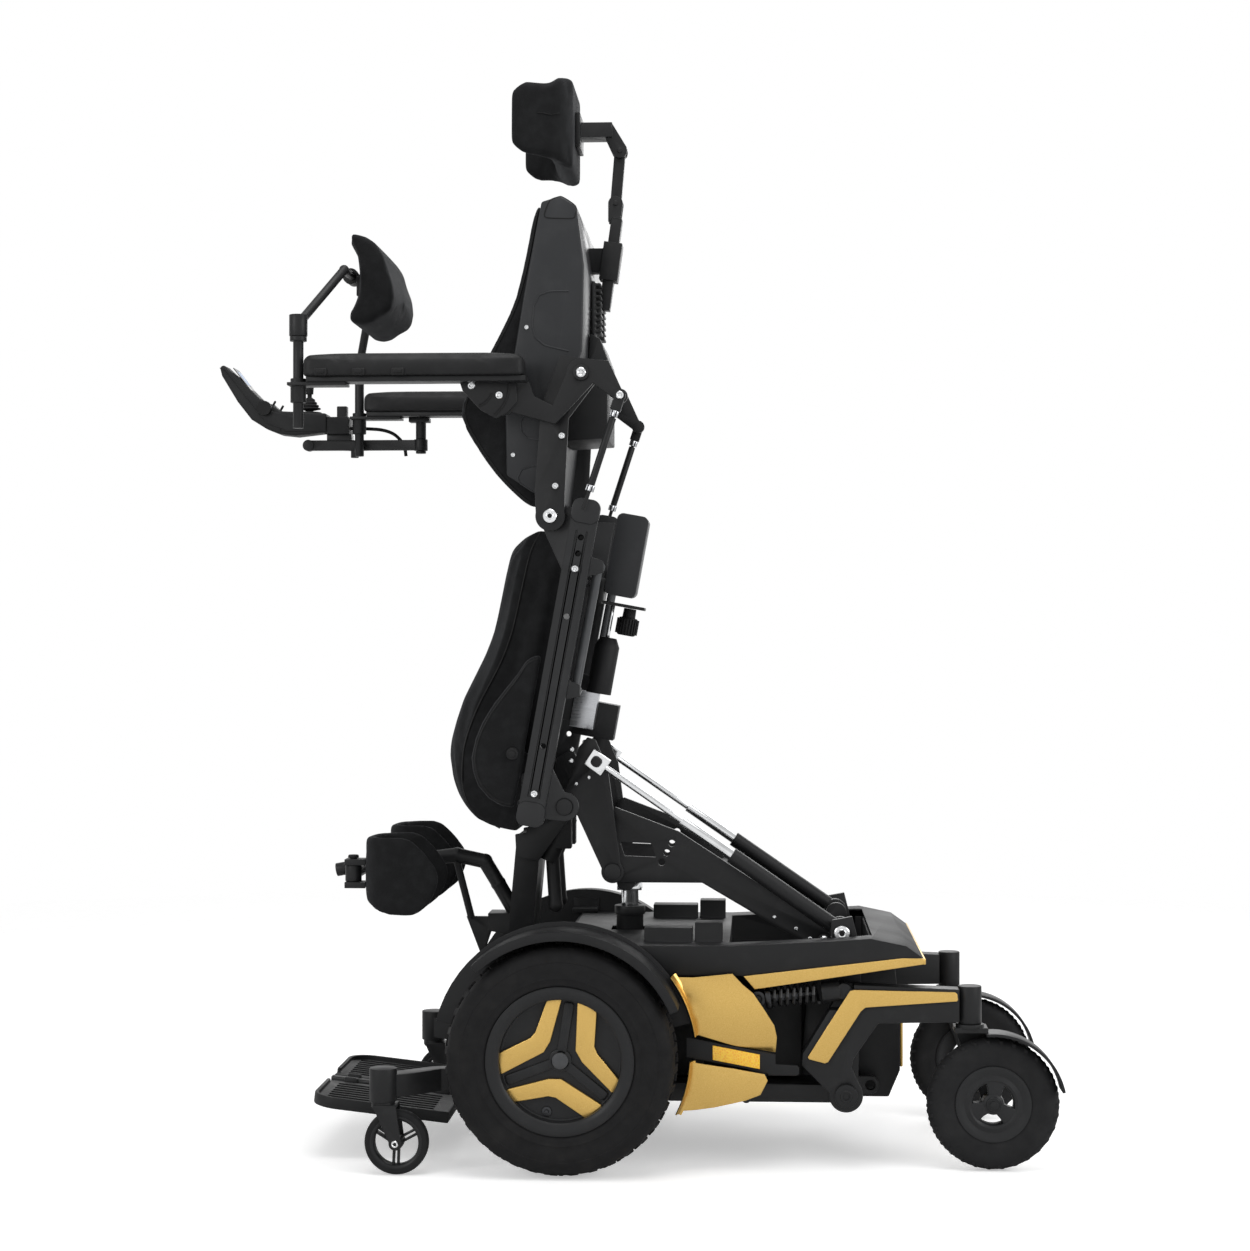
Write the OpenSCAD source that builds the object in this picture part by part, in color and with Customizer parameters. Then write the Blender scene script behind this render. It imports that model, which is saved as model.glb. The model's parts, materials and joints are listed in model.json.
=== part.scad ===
/* [Drive wheels] */
// Outer diameter of a drive tyre
drive_tyre_d = 355; // [345:1:365]
// Width of a drive tyre
drive_tyre_w = 76; // [60:1:80]
// Distance between the middles of the drive tyres
drive_track = 570; // [568:1:600]
// Diameter where tyre and rim meet
drive_rim_d = 226; // [215:1:240]
// Diameter of the open dish in a drive rim
drive_dish_d = 190; // [170:1:196]
// Diameter of the motor's output axle
drive_axle_d = 25; // [20:1:30]
// Distance from the drive axle back to the swing arm pivot
swing_pivot_back = 433; // [430:1:440]
// Thickness of a wheel guard
guard_t = 4; // [3:0.5:5]
// Gap between drive tyre and wheel guard
guard_gap = 15; // [12:1:16]

/* [Rear casters] */
// Diameter of a rear caster tyre
rear_wheel_d = 204; // [190:1:206]
// Width of a rear caster tyre
rear_wheel_w = 36; // [28:1:38]
// Distance from the swing arm pivot back to the swivel axis
swivel_back = 190; // [186:1:192]
// Trail of a rear caster wheel behind its swivel axis
rear_trail = 35; // [30:1:36]
// Distance between the two rear swivel axes
rear_track = 408; // [404:1:416]
// Diameter of a rear swivel housing
rear_housing_d = 36; // [34:1:40]
// Diameter of a rear swivel stem
rear_stem_d = 16; // [12:1:18]

/* [Front casters] */
// Diameter of a front caster wheel
front_wheel_d = 98; // [90:1:99]
// Width of a front caster wheel
front_wheel_w = 26; // [20:1:28]
// Distance from the drive axle forward to the front swivel axis
front_swivel_ahead = 272; // [270:1:280]
// Trail of a front caster wheel
front_trail = 21; // [18:1:22]
// Diameter of a front swivel housing
front_housing_d = 42; // [38:1:44]

/* [Base] */
// Height of the base deck above the floor
deck_h = 343; // [340:1:350]
// Width of the base deck
deck_w = 464; // [460:1:466]
// Wall thickness of the base cover
cover_wall = 4; // [3:0.5:5]
// Height of the frame rails above the floor
rail_low_z = 96; // [90:1:98]
// Height of a frame rail's section
rail_section_h = 28; // [26:1:30]
// Outer width over the two frame rails
rail_span = 370; // [366:1:372]
// Width of a frame rail's section
rail_section_w = 35; // [30:1:38]
// Thickness of a side panel
panel_t = 6; // [4:0.5:7]

/* [Lift] */
// Distance from the drive axle back to the lift pivot
lift_pivot_back = 402; // [398:1:404]
// Height of the lift pivot above the floor
lift_pivot_z = 340; // [336:1:342]
// Thickness of a lift arm plate
lift_arm_t = 10; // [8:1:11]
// Thickness of a carrier plate
carrier_t = 10; // [8:1:11]
// Diameter of the lift pivot shafts
lift_shaft_d = 20; // [16:1:22]
// Diameter of the knee shaft
knee_shaft_d = 25; // [22:1:28]
// Outer diameter of a tilt link tube
tilt_tube_d = 25; // [24:1:26]
// Diameter of a tilt link rod inside its tube
tilt_rod_d = 16; // [12:1:17]
// Outer diameter of the lift column
column_d = 44; // [40:1:48]
// Diameter of the lift column's piston
piston_d = 28; // [24:1:30]

/* [Seat] */
// Length of a seat rail
seat_rail_l = 500; // [496:1:510]
// Front to back width of a seat rail's section
seat_rail_w = 41; // [38:1:42]
// Side to side thickness of a seat rail
seat_rail_t = 18; // [14:1:18]
// Lean of the seat rails from upright
seat_lean = 10.3; // [9.5:0.1:11]
// Distance between the middles of the seat rails
seat_rail_track = 494; // [490:1:496]
// Diameter of an accessory hole in a seat rail
rail_hole_d = 9; // [6:0.5:12]
// Width of the seat cushion
cushion_w = 376; // [360:1:378]
// Thickness of the seat cushion at the hip end
cushion_hip_t = 98; // [90:1:99]
// Thickness of the seat cushion behind the knees
cushion_knee_t = 138; // [130:1:142]

/* [Back] */
// Width of the back shell
back_w = 450; // [440:1:452]
// Width of the back cushion between its side wings
back_pad_w = 376; // [360:1:380]
// Thickness of the back shell's wall
shell_t = 6; // [5:0.5:7]
// Width of the headrest pad
headrest_w = 250; // [220:5:280]

/* [Armrests] */
// Distance between the middles of the armrest pads
arm_track = 560; // [556:1:566]
// Length of an armrest pad
arm_pad_l = 340; // [335:1:345]
// Width of an armrest pad
arm_pad_w = 64; // [56:1:70]
// Thickness of an armrest pad
arm_pad_t = 34; // [28:1:36]
// Diameter of a chest support post
post_d = 16; // [12:1:18]
// Diameter of the chest support's bent tube
chest_tube_d = 14; // [10:1:16]
// Width of the chest pad
chest_pad_w = 250; // [220:5:280]

/* [Legrest] */
// Width of the leg post, front to back
leg_post_w = 40; // [36:1:42]
// Length of a footplate, front to back
footplate_l = 220; // [200:1:226]
// Width of a footplate
footplate_w = 172; // [150:1:176]
// Thickness of a footplate
footplate_t = 11; // [8:1:12]
// Toe-up slope of the footplates
foot_slope = 6.5; // [4:0.5:8]
// Height of a knee pad
knee_pad_h = 126; // [110:1:130]

/* [Fits] */
// Running clearance on the radius of a pivot
pivot_gap = 0.05; // [0.02:0.01:0.09]
// Gap beside soft pieces
soft_gap = 0.4; // [0.3:0.1:0.8]
// Side gap between plates that turn past each other
plate_gap = 4; // [3:0.5:4]

/* [Hidden] */
$fn = 64;

// Side to side helpers: left is the negative Y side
LEFT = -1;
RIGHT = 1;
rear_reach = 761;
front_reach = 650;
axle_x = (front_reach - rear_reach) / 2;
axle_z = drive_tyre_d / 2;
axle_y = drive_track / 2;
tyre_in_y = axle_y - drive_tyre_w / 2;
bolt_d = 8;
head_h = 4;
tiny = 0.3;

swing_x = axle_x + swing_pivot_back;
swing_z = 114;
swivel_x = swing_x + swivel_back;
swivel_y = rear_track / 2;
rear_wheel_x = swivel_x + rear_trail;
rear_wheel_z = rear_wheel_d / 2;
front_swivel_x = axle_x - front_swivel_ahead;
front_swivel_y = axle_y;
front_wheel_x = front_swivel_x + front_trail;
front_wheel_z = front_wheel_d / 2;

rail_out_y = rail_span / 2;
rail_in_y = rail_out_y - rail_section_w;
rail_top_z = rail_low_z + rail_section_h;
rail_front_x = axle_x - 17;
rail_rear_x = swing_x + 20;
tray_t = 4;
deck_y = deck_w / 2;
deck_front_x = axle_x - 12;
deck_under_z = deck_h - 46;
panel_out_y = deck_y + 8;
panel_in_y = panel_out_y - panel_t;

lift_x = axle_x + lift_pivot_back;
lift_z = lift_pivot_z;
tilt_x = lift_x + 26;
tilt_z = lift_z + 18;
shank_x = lift_x - 333;
shank_z = lift_z + 107;
knee_x = shank_x - 68;
knee_z = shank_z + 109;
pin_x = shank_x - 24;
pin_z = shank_z + 175;
bracket_t = 12;
bracket_in_y = 96;
arm_in_y = bracket_in_y + bracket_t + plate_gap + 2;
carrier_in_y = arm_in_y + lift_arm_t + plate_gap;
tilt_y = carrier_in_y + carrier_t + plate_gap + 2 + tilt_tube_d / 2;
ear_in_y = tilt_y + tilt_tube_d / 2 + plate_gap;
tilt_dx = pin_x - tilt_x;
tilt_dz = pin_z - tilt_z;
tilt_l = sqrt(tilt_dx * tilt_dx + tilt_dz * tilt_dz);
tilt_angle = atan2(tilt_dx, tilt_dz);
tilt_tube_l = 208;
column_x = axle_x + 89;
column_z = 200;
push_z = column_z + 230;

seat_in_y = seat_rail_track / 2 - seat_rail_t / 2;
seat_out_y = seat_in_y + seat_rail_t;
hip_plate_t = 12;
rail_foot_x = knee_x - 53;
rail_foot_z = knee_z - 24;
hip_x = knee_x - 21;
hip_z = knee_z + 447;
pan_t = 6;
pad_face = seat_rail_w / 2;

// A hinge pin's cut for a running fit
function bore_of(d) = d + 2 * pivot_gap;
// Place on the seat rail's line: across it, then along it from the knee end
function on_rail(across, along) = [
    rail_foot_x + across * cos(seat_lean) + along * sin(seat_lean),
    rail_foot_z - across * sin(seat_lean) + along * cos(seat_lean)
];

// Plate with an outline in the XZ plane, from y0 to y1
module side_plate(y0, y1) {
    translate([0, y1, 0]) rotate([90, 0, 0]) linear_extrude(y1 - y0) children();
}
// Round bar along Y
module y_bar(x, z, y0, y1, d) {
    translate([x, y0, z]) rotate([-90, 0, 0]) cylinder(h = y1 - y0, d = d);
}
// Round bar along X
module x_bar(x0, x1, y, z, d) {
    translate([x0, y, z]) rotate([0, 90, 0]) cylinder(h = x1 - x0, d = d);
}
// Round bar along Z
module z_bar(x, y, z0, z1, d) {
    translate([x, y, z0]) cylinder(h = z1 - z0, d = d);
}
// Round bar between two places in the plane at y
module slant_bar(from, to, y, d) {
    dx = to[0] - from[0];
    dz = to[1] - from[1];
    translate([from[0], y, from[1]]) rotate([0, atan2(dx, dz), 0])
        cylinder(h = sqrt(dx * dx + dz * dz), d = d);
}
// Round bar between two places in space
module space_bar(from, to, d) {
    span = to - from;
    flat = sqrt(span[0] * span[0] + span[1] * span[1]);
    translate(from) rotate([0, atan2(flat, span[2]), atan2(span[1], span[0])])
        cylinder(h = norm(span), d = d);
}
// Block given by its low and high corners
module block(low, high) {
    translate(low) cube(high - low);
}
// The same thing on both sides
module both_sides() {
    children();
    mirror([0, 1, 0]) children();
}
// A thing drawn for the right, put on the named side
module on_side(side) {
    if (side == RIGHT) children();
    else mirror([0, 1, 0]) children();
}
// Bolt head on the outside of a plate
module y_head(x, z, y, d) {
    y_bar(x, z, y, y + head_h, d);
}

// Welded base frame: rails, battery tray, posts, pivots and tie-down eyes
post_w = 28;
front_post_x = axle_x + 115;
rear_post_x = axle_x + 283;
shock_front_x = axle_x + 298;
shock_front_z = 261;
shock_y = swivel_y + 8;
shock_eye_d = 24;
shock_pin_d = 10;
eye_bore_d = 16;
swing_axle_d = 20;
motor_plate_t = 10;
motor_d = 84;
motor_hole_d = 60;
tilt_pin_d = 16;
ear_t = 9;

module tie_down_eye(x, y, reach) {
    side_plate(y, y + 12) difference() {
        union() {
            translate([x, rail_low_z + 14]) circle(d = 28);
            translate([min(x, x - reach), rail_low_z]) square([abs(reach), 28]);
        }
        translate([x, rail_low_z + 14]) circle(d = eye_bore_d);
    }
}
front_eye_y = 120;
module front_tie_down() {
    translate([0, 0, rail_low_z + 6]) linear_extrude(12) difference() {
        union() {
            translate([rail_front_x - 20, front_eye_y]) circle(d = 28);
            translate([rail_front_x - 20, front_eye_y - 14]) square([22, 28]);
        }
        translate([rail_front_x - 20, front_eye_y]) circle(d = eye_bore_d);
    }
}
module frame_side() {
    block([rail_front_x, rail_in_y, rail_low_z], [rail_rear_x, rail_out_y, rail_top_z]);
    for (x = [front_post_x, rear_post_x])
        block([x, rail_in_y, rail_top_z - 1],
            [x + post_w, rail_out_y, deck_under_z - (x == rear_post_x ? 24 : 1)]);
    y_bar(swing_x, swing_z, rail_out_y - 5, swivel_y + 24, swing_axle_d);
    y_bar(swing_x, swing_z, swivel_y + 20, swivel_y + 26, 36);
    y_bar(shock_front_x, shock_front_z, rail_out_y - 5, shock_y + 13, shock_pin_d);
    y_bar(shock_front_x, shock_front_z, rail_out_y - 5, shock_y - 12.5, shock_eye_d);
    side_plate(rail_out_y - 1, rail_out_y + motor_plate_t) difference() {
        translate([axle_x - 52, rail_low_z]) square([104, 136]);
        translate([axle_x, axle_z]) circle(d = motor_hole_d);
    }
    side_plate(bracket_in_y, bracket_in_y + bracket_t) difference() {
        union() {
            polygon([
                [lift_x - 38, rail_top_z - 1], [lift_x + 48, rail_top_z - 1],
                [tilt_x + 17, tilt_z], [lift_x - 18, lift_z]
            ]);
            translate([lift_x, lift_z]) circle(d = 36);
            translate([tilt_x, tilt_z]) circle(d = 34);
        }
    }
    y_bar(tilt_x, tilt_z, bracket_in_y, ear_in_y + ear_t, tilt_pin_d);
    y_bar(tilt_x, tilt_z, ear_in_y, ear_in_y + ear_t + 5, 26);
    side_plate(ear_in_y, ear_in_y + ear_t) polygon([
        [tilt_x - 24, rail_top_z - 1], [rail_rear_x, rail_top_z - 1],
        [tilt_x + 30, tilt_z - 30], [tilt_x + 16, tilt_z + 26], [tilt_x - 16, tilt_z + 20]
    ]);
    for (x = [axle_x + 125, axle_x + 270])
        y_bar(x, 240, rail_out_y - 2, panel_in_y, 14);
    for (x = [axle_x + 215, axle_x + 280])
        y_bar(x, rail_low_z + 14, rail_out_y - 2, panel_in_y, 14);
    for (x = [axle_x + 205, axle_x + 300])
        y_bar(x, x > axle_x + 250 ? 164 : 184, rail_out_y - 2, panel_in_y, 12);
    for (x = [axle_x + 205, axle_x + 300])
        block([x - 8, rail_out_y - 12, rail_top_z - 2], [x + 8, rail_out_y, 190]);
}
module chassis_frame() {
    color("#232425") difference() {
        union() {
            both_sides() frame_side();
            block([rail_front_x, -rail_in_y - 1, rail_low_z], [rail_front_x + 30, rail_in_y + 1, rail_top_z]);
            block([rail_rear_x - 30, -rail_in_y - 1, rail_low_z], [rail_rear_x, rail_in_y + 1, rail_top_z]);
            block([rail_front_x, -rail_in_y - 1, rail_top_z - tray_t], [rail_rear_x, rail_in_y + 1, rail_top_z]);
            y_bar(lift_x, lift_z, -arm_in_y - lift_arm_t - 3, arm_in_y + lift_arm_t + 3, lift_shaft_d);
            both_sides() {
                side_plate(column_d / 2 + 15, column_d / 2 + 25) union() {
                    translate([column_x - 24, rail_top_z - 1]) square([48, column_z - rail_top_z]);
                    translate([column_x, column_z]) circle(d = 48);
                }
            }
            y_bar(column_x, column_z, -column_d / 2 - 16, column_d / 2 + 16, tilt_pin_d);
            both_sides() front_tie_down();
            both_sides() tie_down_eye(rail_rear_x + 22, 98, 24);
        }
    }
}

// Black top cover: deck with a rear tail, channel for the lift arms, and skirt
tail_tip_x = axle_x + 553;
channel_x0 = axle_x + 250;
channel_x1 = axle_x + 478;
channel_y = ear_in_y + ear_t + 6;
channel_z = 301;
skirt_z = rail_top_z + 4;
nose_y = 112;
skirt_y = rail_in_y - 9;
skirt_x = axle_x + 366;
tail_y = 88;
function deck_outline(w) = [
    [deck_front_x + w, deck_under_z - (w > 0 ? 5 : 0)], [deck_front_x + w, deck_h - 8 - w],
    [deck_front_x + 9 + w, deck_h - w], [axle_x + 255, deck_h - w], [axle_x + 385, deck_h + 7 - w],
    [axle_x + 471, deck_h + 13 - w], [tail_tip_x - 28 - w, deck_h + 2 - w],
    [tail_tip_x - w, deck_under_z + 28], [tail_tip_x - 3 - w, deck_under_z + 20 + w],
    [axle_x + 292, deck_under_z - 20 + w], [axle_x + 274 - w, deck_under_z - (w > 0 ? 5 : 0)]
];
module skirt_block(w, low, high) {
    block([deck_front_x + w, -nose_y + w, low], [front_post_x + w, nose_y - w, high]);
    block([front_post_x - 5 + w, -skirt_y + w, low], [skirt_x - w, skirt_y - w, high]);
}
function rear_body(w) = [
    [skirt_x - w, rail_top_z + 4 + w], [rail_rear_x + 5 + w, rail_top_z + 4 + w],
    [rail_rear_x + 5 + w, rail_low_z - 8 + w], [axle_x + 505 - w, rail_low_z - 8 + w],
    [axle_x + 523 - w, rail_low_z + 34], [axle_x + 523 - w, 218], [axle_x + 515 - w, 296 + w],
    [skirt_x - w, 290 + w]
];
module base_cover() {
    color("#1c1d1e") difference() {
        union() {
            difference() {
                side_plate(-deck_y, deck_y) polygon(deck_outline(0));
                side_plate(-deck_y + cover_wall, deck_y - cover_wall) polygon(deck_outline(cover_wall));
            }
            block([channel_x0, -channel_y, channel_z - cover_wall], [channel_x1, channel_y, deck_h]);
            difference() {
                skirt_block(0, skirt_z, deck_under_z + 20);
                skirt_block(cover_wall, skirt_z - 1, deck_under_z + 21);
            }
            difference() {
                side_plate(-tail_y, tail_y) polygon(rear_body(0));
                side_plate(-tail_y + cover_wall, tail_y - cover_wall) polygon(rear_body(cover_wall));
            }
            both_sides() {
                block([axle_x + 121, tilt_y - 12, deck_h - 2], [axle_x + 196, tilt_y + 26, deck_h + 22]);
                block([axle_x + 200, tilt_y - 12, deck_h - 2], [axle_x + 243, tilt_y + 22, deck_h + 30]);
            }
        }
        block([channel_x0 + cover_wall, -channel_y + cover_wall, channel_z],
            [channel_x1 - cover_wall, channel_y - cover_wall, deck_h + 40]);
        both_sides() {
            block([lift_x - 42, bracket_in_y - 1, channel_z - 30],
                [lift_x + 52, bracket_in_y + bracket_t + 1, deck_h + 1]);
            block([tilt_x - 26, ear_in_y - 1, channel_z - 30], [lift_x + 60, ear_in_y + ear_t + 6, deck_h + 20]);
            block([lift_x - 42, bracket_in_y - 1, skirt_z - 1],
                [skirt_x + 1, bracket_in_y + bracket_t + 1, skirt_z + 24]);
            block([shock_front_x - 20, shock_y - 18, deck_under_z - 25],
                [shock_front_x + 40, shock_y + 15.5, deck_under_z - 12]);
        }
        block([column_x - 30, -column_d / 2 - 5, deck_h - 20], [column_x + 44, column_d / 2 + 5, deck_h + 1]);
    }
}

// Gold body panels with the dark band between them
panel_x0 = axle_x + 83;
seam_slope = 0.185;
function upper_seam(x) = 206 - seam_slope * (x - axle_x - 188);
function lower_seam(x) = 171 - seam_slope * (x - axle_x - 193);
seam_gap = 1.5;
module upper_panel() {
    polygon([
        [panel_x0, deck_under_z - 2], [axle_x + 259, deck_under_z - 2], [axle_x + 291, 273],
        [axle_x + 323, 224], [axle_x + 325, upper_seam(axle_x + 325)], [panel_x0, upper_seam(panel_x0)]
    ]);
}
module lower_panel() {
    polygon([
        [panel_x0, lower_seam(panel_x0)], [axle_x + 313, lower_seam(axle_x + 313)],
        [axle_x + 302, 118], [axle_x + 279, 109], [axle_x + 232, 98], [axle_x + 168, 88],
        [panel_x0, 88]
    ]);
}
module dark_band() {
    polygon([
        [panel_x0, upper_seam(panel_x0) - seam_gap],
        [axle_x + 325, upper_seam(axle_x + 325) - seam_gap],
        [axle_x + 325, 164], [axle_x + 360, 162], [axle_x + 360, 147], [axle_x + 314, 147],
        [axle_x + 313, lower_seam(axle_x + 313) + seam_gap],
        [panel_x0, lower_seam(panel_x0) + seam_gap]
    ]);
}
module side_panels() {
    color("#d8b95f") both_sides() {
        side_plate(panel_in_y, panel_out_y) {
            upper_panel();
            lower_panel();
        }
        side_plate(deck_y, deck_y + 4) polygon([
            [axle_x + 274, deck_under_z], [axle_x + 518, deck_h - 16], [tail_tip_x - 2, deck_h - 16],
            [tail_tip_x, deck_under_z + 25], [tail_tip_x - 3, deck_under_z + 20],
            [axle_x + 292, deck_under_z - 20]
        ]);
    }
    color("#d8b95f") block([axle_x + 523, -tail_y + 8, 134], [axle_x + 528, tail_y - 8, 208]);
    color("#161718") both_sides() side_plate(panel_in_y, panel_out_y) dark_band();
}

// Amber reflector on each dark band
module side_reflectors() {
    color("#f8b800") both_sides() side_plate(panel_out_y, panel_out_y + 3) polygon([
        [axle_x + 229, upper_seam(axle_x + 229) - 6], [axle_x + 301, upper_seam(axle_x + 301) - 6],
        [axle_x + 301, lower_seam(axle_x + 301) + 6], [axle_x + 229, lower_seam(axle_x + 229) + 6]
    ]);
}

// Two batteries on the tray, each with two terminals
battery_l = 112;
battery_top = deck_under_z - 36;
module batteries() {
    color("#3a3b3d") for (x = [front_post_x + 12, front_post_x + 12 + battery_l + 8]) {
        block([x, -118, rail_top_z], [x + battery_l, 118, battery_top]);
        for (y = [-80, 80]) z_bar(x + battery_l / 2, y, battery_top, battery_top + 10, 14);
    }
}

// Drive motors: gearbox, motor and output axle on each side
gearbox_d = 100;
gearbox_y = tyre_in_y - 8;
hub_face_y = axle_y + 22;
module drive_motors() {
    color("#4a4b4d") both_sides() {
        y_bar(axle_x, axle_z, rail_out_y + motor_plate_t, gearbox_y, gearbox_d);
        y_bar(axle_x, axle_z, rail_in_y - 32, rail_out_y - 1, motor_d);
        y_bar(axle_x, axle_z, rail_out_y - 2, rail_out_y + motor_plate_t + 1, motor_hole_d - 0.4);
        y_bar(axle_x, axle_z, gearbox_y - 1, hub_face_y, drive_axle_d);
    }
}

// Wheel guards: arched fenders over the drive wheels on brackets from the deck
guard_r = drive_tyre_d / 2 + guard_gap;
guard_w = drive_tyre_w + 6;
guard_lip = 10;
guard_front = 127;
guard_rear = 18;
module guard_ring() {
    rotate([90, 0, 0]) rotate_extrude() difference() {
        translate([guard_r - guard_lip, -guard_w / 2]) square([guard_lip + guard_t, guard_w]);
        translate([guard_r - guard_lip - 1, -guard_w / 2 + guard_t])
            square([guard_lip + 1, guard_w - 2 * guard_t]);
    }
}
module wheel_guards() {
    color("#202122") both_sides() {
        intersection() {
            translate([axle_x, axle_y, axle_z]) guard_ring();
            side_plate(axle_y - guard_w, axle_y + guard_w) polygon([
                [axle_x, axle_z],
                for (a = [guard_rear : (guard_front - guard_rear) / 6 : guard_front + 1])
                    [axle_x + 260 * cos(a + 6), axle_z + 260 * sin(a + 6)]
            ]);
        }
        block([axle_x - 22, deck_y - 24, deck_h], [axle_x + 22, axle_y - guard_w / 2 + 1, deck_h + 8]);
        block([axle_x - 22, axle_y - guard_w / 2 - 7, deck_h],
            [axle_x + 22, axle_y - guard_w / 2 + 1, axle_z + guard_r - 4]);
    }
}

// Lift column and its piston, which push the lift arms up
column_top = 380;
module lift_column() {
    color("#3b3c3e") difference() {
        union() {
            z_bar(column_x, 0, column_z + 18, column_top, column_d);
            y_bar(column_x, column_z, -column_d / 2 - 10, column_d / 2 + 10, 44);
            z_bar(column_x, 0, column_top - 14, column_top, column_d + 6);
        }
        y_bar(column_x, column_z, -column_d, column_d, bore_of(tilt_pin_d));
        z_bar(column_x, 0, column_z + 30, column_top + 1, bore_of(piston_d));
    }
}
module lift_piston() {
    color("#c9ccce") difference() {
        union() {
            z_bar(column_x, 0, column_z + 36, push_z - 16, piston_d);
            block([column_x - 20, -20, push_z - 24], [column_x + 20, 20, push_z - 6]);
        }
        y_bar(column_x, push_z, -30, 30, push_tube_d + 3);
    }
}

// Drive wheels: lugged tyre on a dished rim with three gold inserts
lug_count = 24;
module drive_tyre(side) {
    on_side(side) color("#232323") translate([axle_x, axle_y, axle_z]) rotate([90, 0, 0]) union() {
        rotate_extrude() polygon([
            [drive_rim_d / 2, -30], [drive_rim_d / 2 + 12, -36], [axle_z - 32, -drive_tyre_w / 2],
            [axle_z - 14, -drive_tyre_w / 2 + 2], [axle_z - 5, -drive_tyre_w / 2 + 14],
            [axle_z - 5, drive_tyre_w / 2 - 14], [axle_z - 14, drive_tyre_w / 2 - 2],
            [axle_z - 32, drive_tyre_w / 2], [drive_rim_d / 2 + 12, 36], [drive_rim_d / 2, 30]
        ]);
        intersection() {
            rotate_extrude() polygon([
                [axle_z - 12, -drive_tyre_w / 2 + 4], [axle_z - 3, -drive_tyre_w / 2 + 11],
                [axle_z, -12], [axle_z, 12], [axle_z - 3, drive_tyre_w / 2 - 11],
                [axle_z - 12, drive_tyre_w / 2 - 4]
            ]);
            union() {
                for (i = [0 : lug_count - 1]) rotate([0, 0, i * 360 / lug_count])
                    translate([axle_z - 20, -14, 1]) rotate([14, 0, 0]) cube([30, 26, drive_tyre_w]);
                for (i = [0 : lug_count - 1]) rotate([0, 0, (i + 0.5) * 360 / lug_count])
                    mirror([0, 0, 1]) translate([axle_z - 20, -14, 1]) rotate([14, 0, 0])
                        cube([30, 26, drive_tyre_w]);
            }
        }
    }
}
module chevron(r0, r1, spread) {
    polygon([
        [r0, 0], [r1 * cos(spread), r1 * sin(spread)], [r1 * cos(spread * 0.62), r1 * sin(spread * 0.62)],
        [r0 + 24, 0], [r1 * cos(spread * 0.62), -r1 * sin(spread * 0.62)],
        [r1 * cos(spread), -r1 * sin(spread)]
    ]);
}
module drive_rim(side) {
    on_side(side) translate([axle_x, axle_y, axle_z]) rotate([-90, 0, 0]) {
        color("#17181a") difference() {
            union() {
                rotate_extrude() polygon([
                    [drive_dish_d / 2, 32], [drive_rim_d / 2, 32], [drive_rim_d / 2, -32],
                    [drive_dish_d / 2, -32], [drive_dish_d / 2 - 4, -4], [drive_dish_d / 2 - 4, 8]
                ]);
                translate([0, 0, -6]) cylinder(h = 14, d = drive_dish_d - 4);
                translate([0, 0, -34]) cylinder(h = 62, d = 64);
            }
            translate([0, 0, -40]) cylinder(h = 40.5 + hub_face_y - axle_y, d = bore_of(drive_axle_d));
        }
        color("#d8b95f") for (a = [0, 120, 240]) rotate([0, 0, a + 30])
            translate([0, 0, 8 + seam]) linear_extrude(10) chevron(52, drive_dish_d / 2 - 6, 34);
        color("#b9bcbe") for (a = [60, 180, 300]) rotate([0, 0, a])
            translate([44, 0, 8 + seam]) cylinder(h = 7, d = 13);
    }
}

// Swing arm: boss at the pivot, upright leg with the shock's ear, and a beam to the swivel
arm_t = 34;
boss_d = 52;
shock_rear_x = swing_x - 3;
shock_rear_z = shock_front_z + 13;
beam_top_z = 278;
beam_low_z = 228;
insert_t = 4;
function arm_low_edge() = [
    [swing_x + 24, swing_z + 10], [swing_x + 8, swing_z + 42], [swing_x + 11, swing_z + 56],
    [swing_x + 49, beam_low_z - 3], [swivel_x - 17, beam_low_z]
];
module swing_outline() {
    polygon(concat([
        [swing_x - 25, swing_z + 3], [swing_x - 68, swing_z + 46], [swing_x - 66, swing_z + 64],
        [swing_x - 10, beam_top_z - 8], [swing_x - 2, beam_top_z + 3], [swing_x + 8, beam_top_z + 6],
        [swivel_x - 17, beam_top_z]
    ], [for (i = [4 : -1 : 0]) arm_low_edge()[i]]));
    translate([swing_x, swing_z]) circle(d = boss_d);
}
module insert_outline() {
    polygon([
        [swing_x + 6, beam_top_z], [swivel_x - 22, beam_top_z - 4], [swivel_x - 20, beam_top_z - 18],
        [swing_x + 28, swing_z + 134], [swing_x - 30, swing_z + 50], [swing_x - 60, swing_z + 58],
        [swing_x - 2, beam_top_z - 10]
    ]);
}
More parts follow.
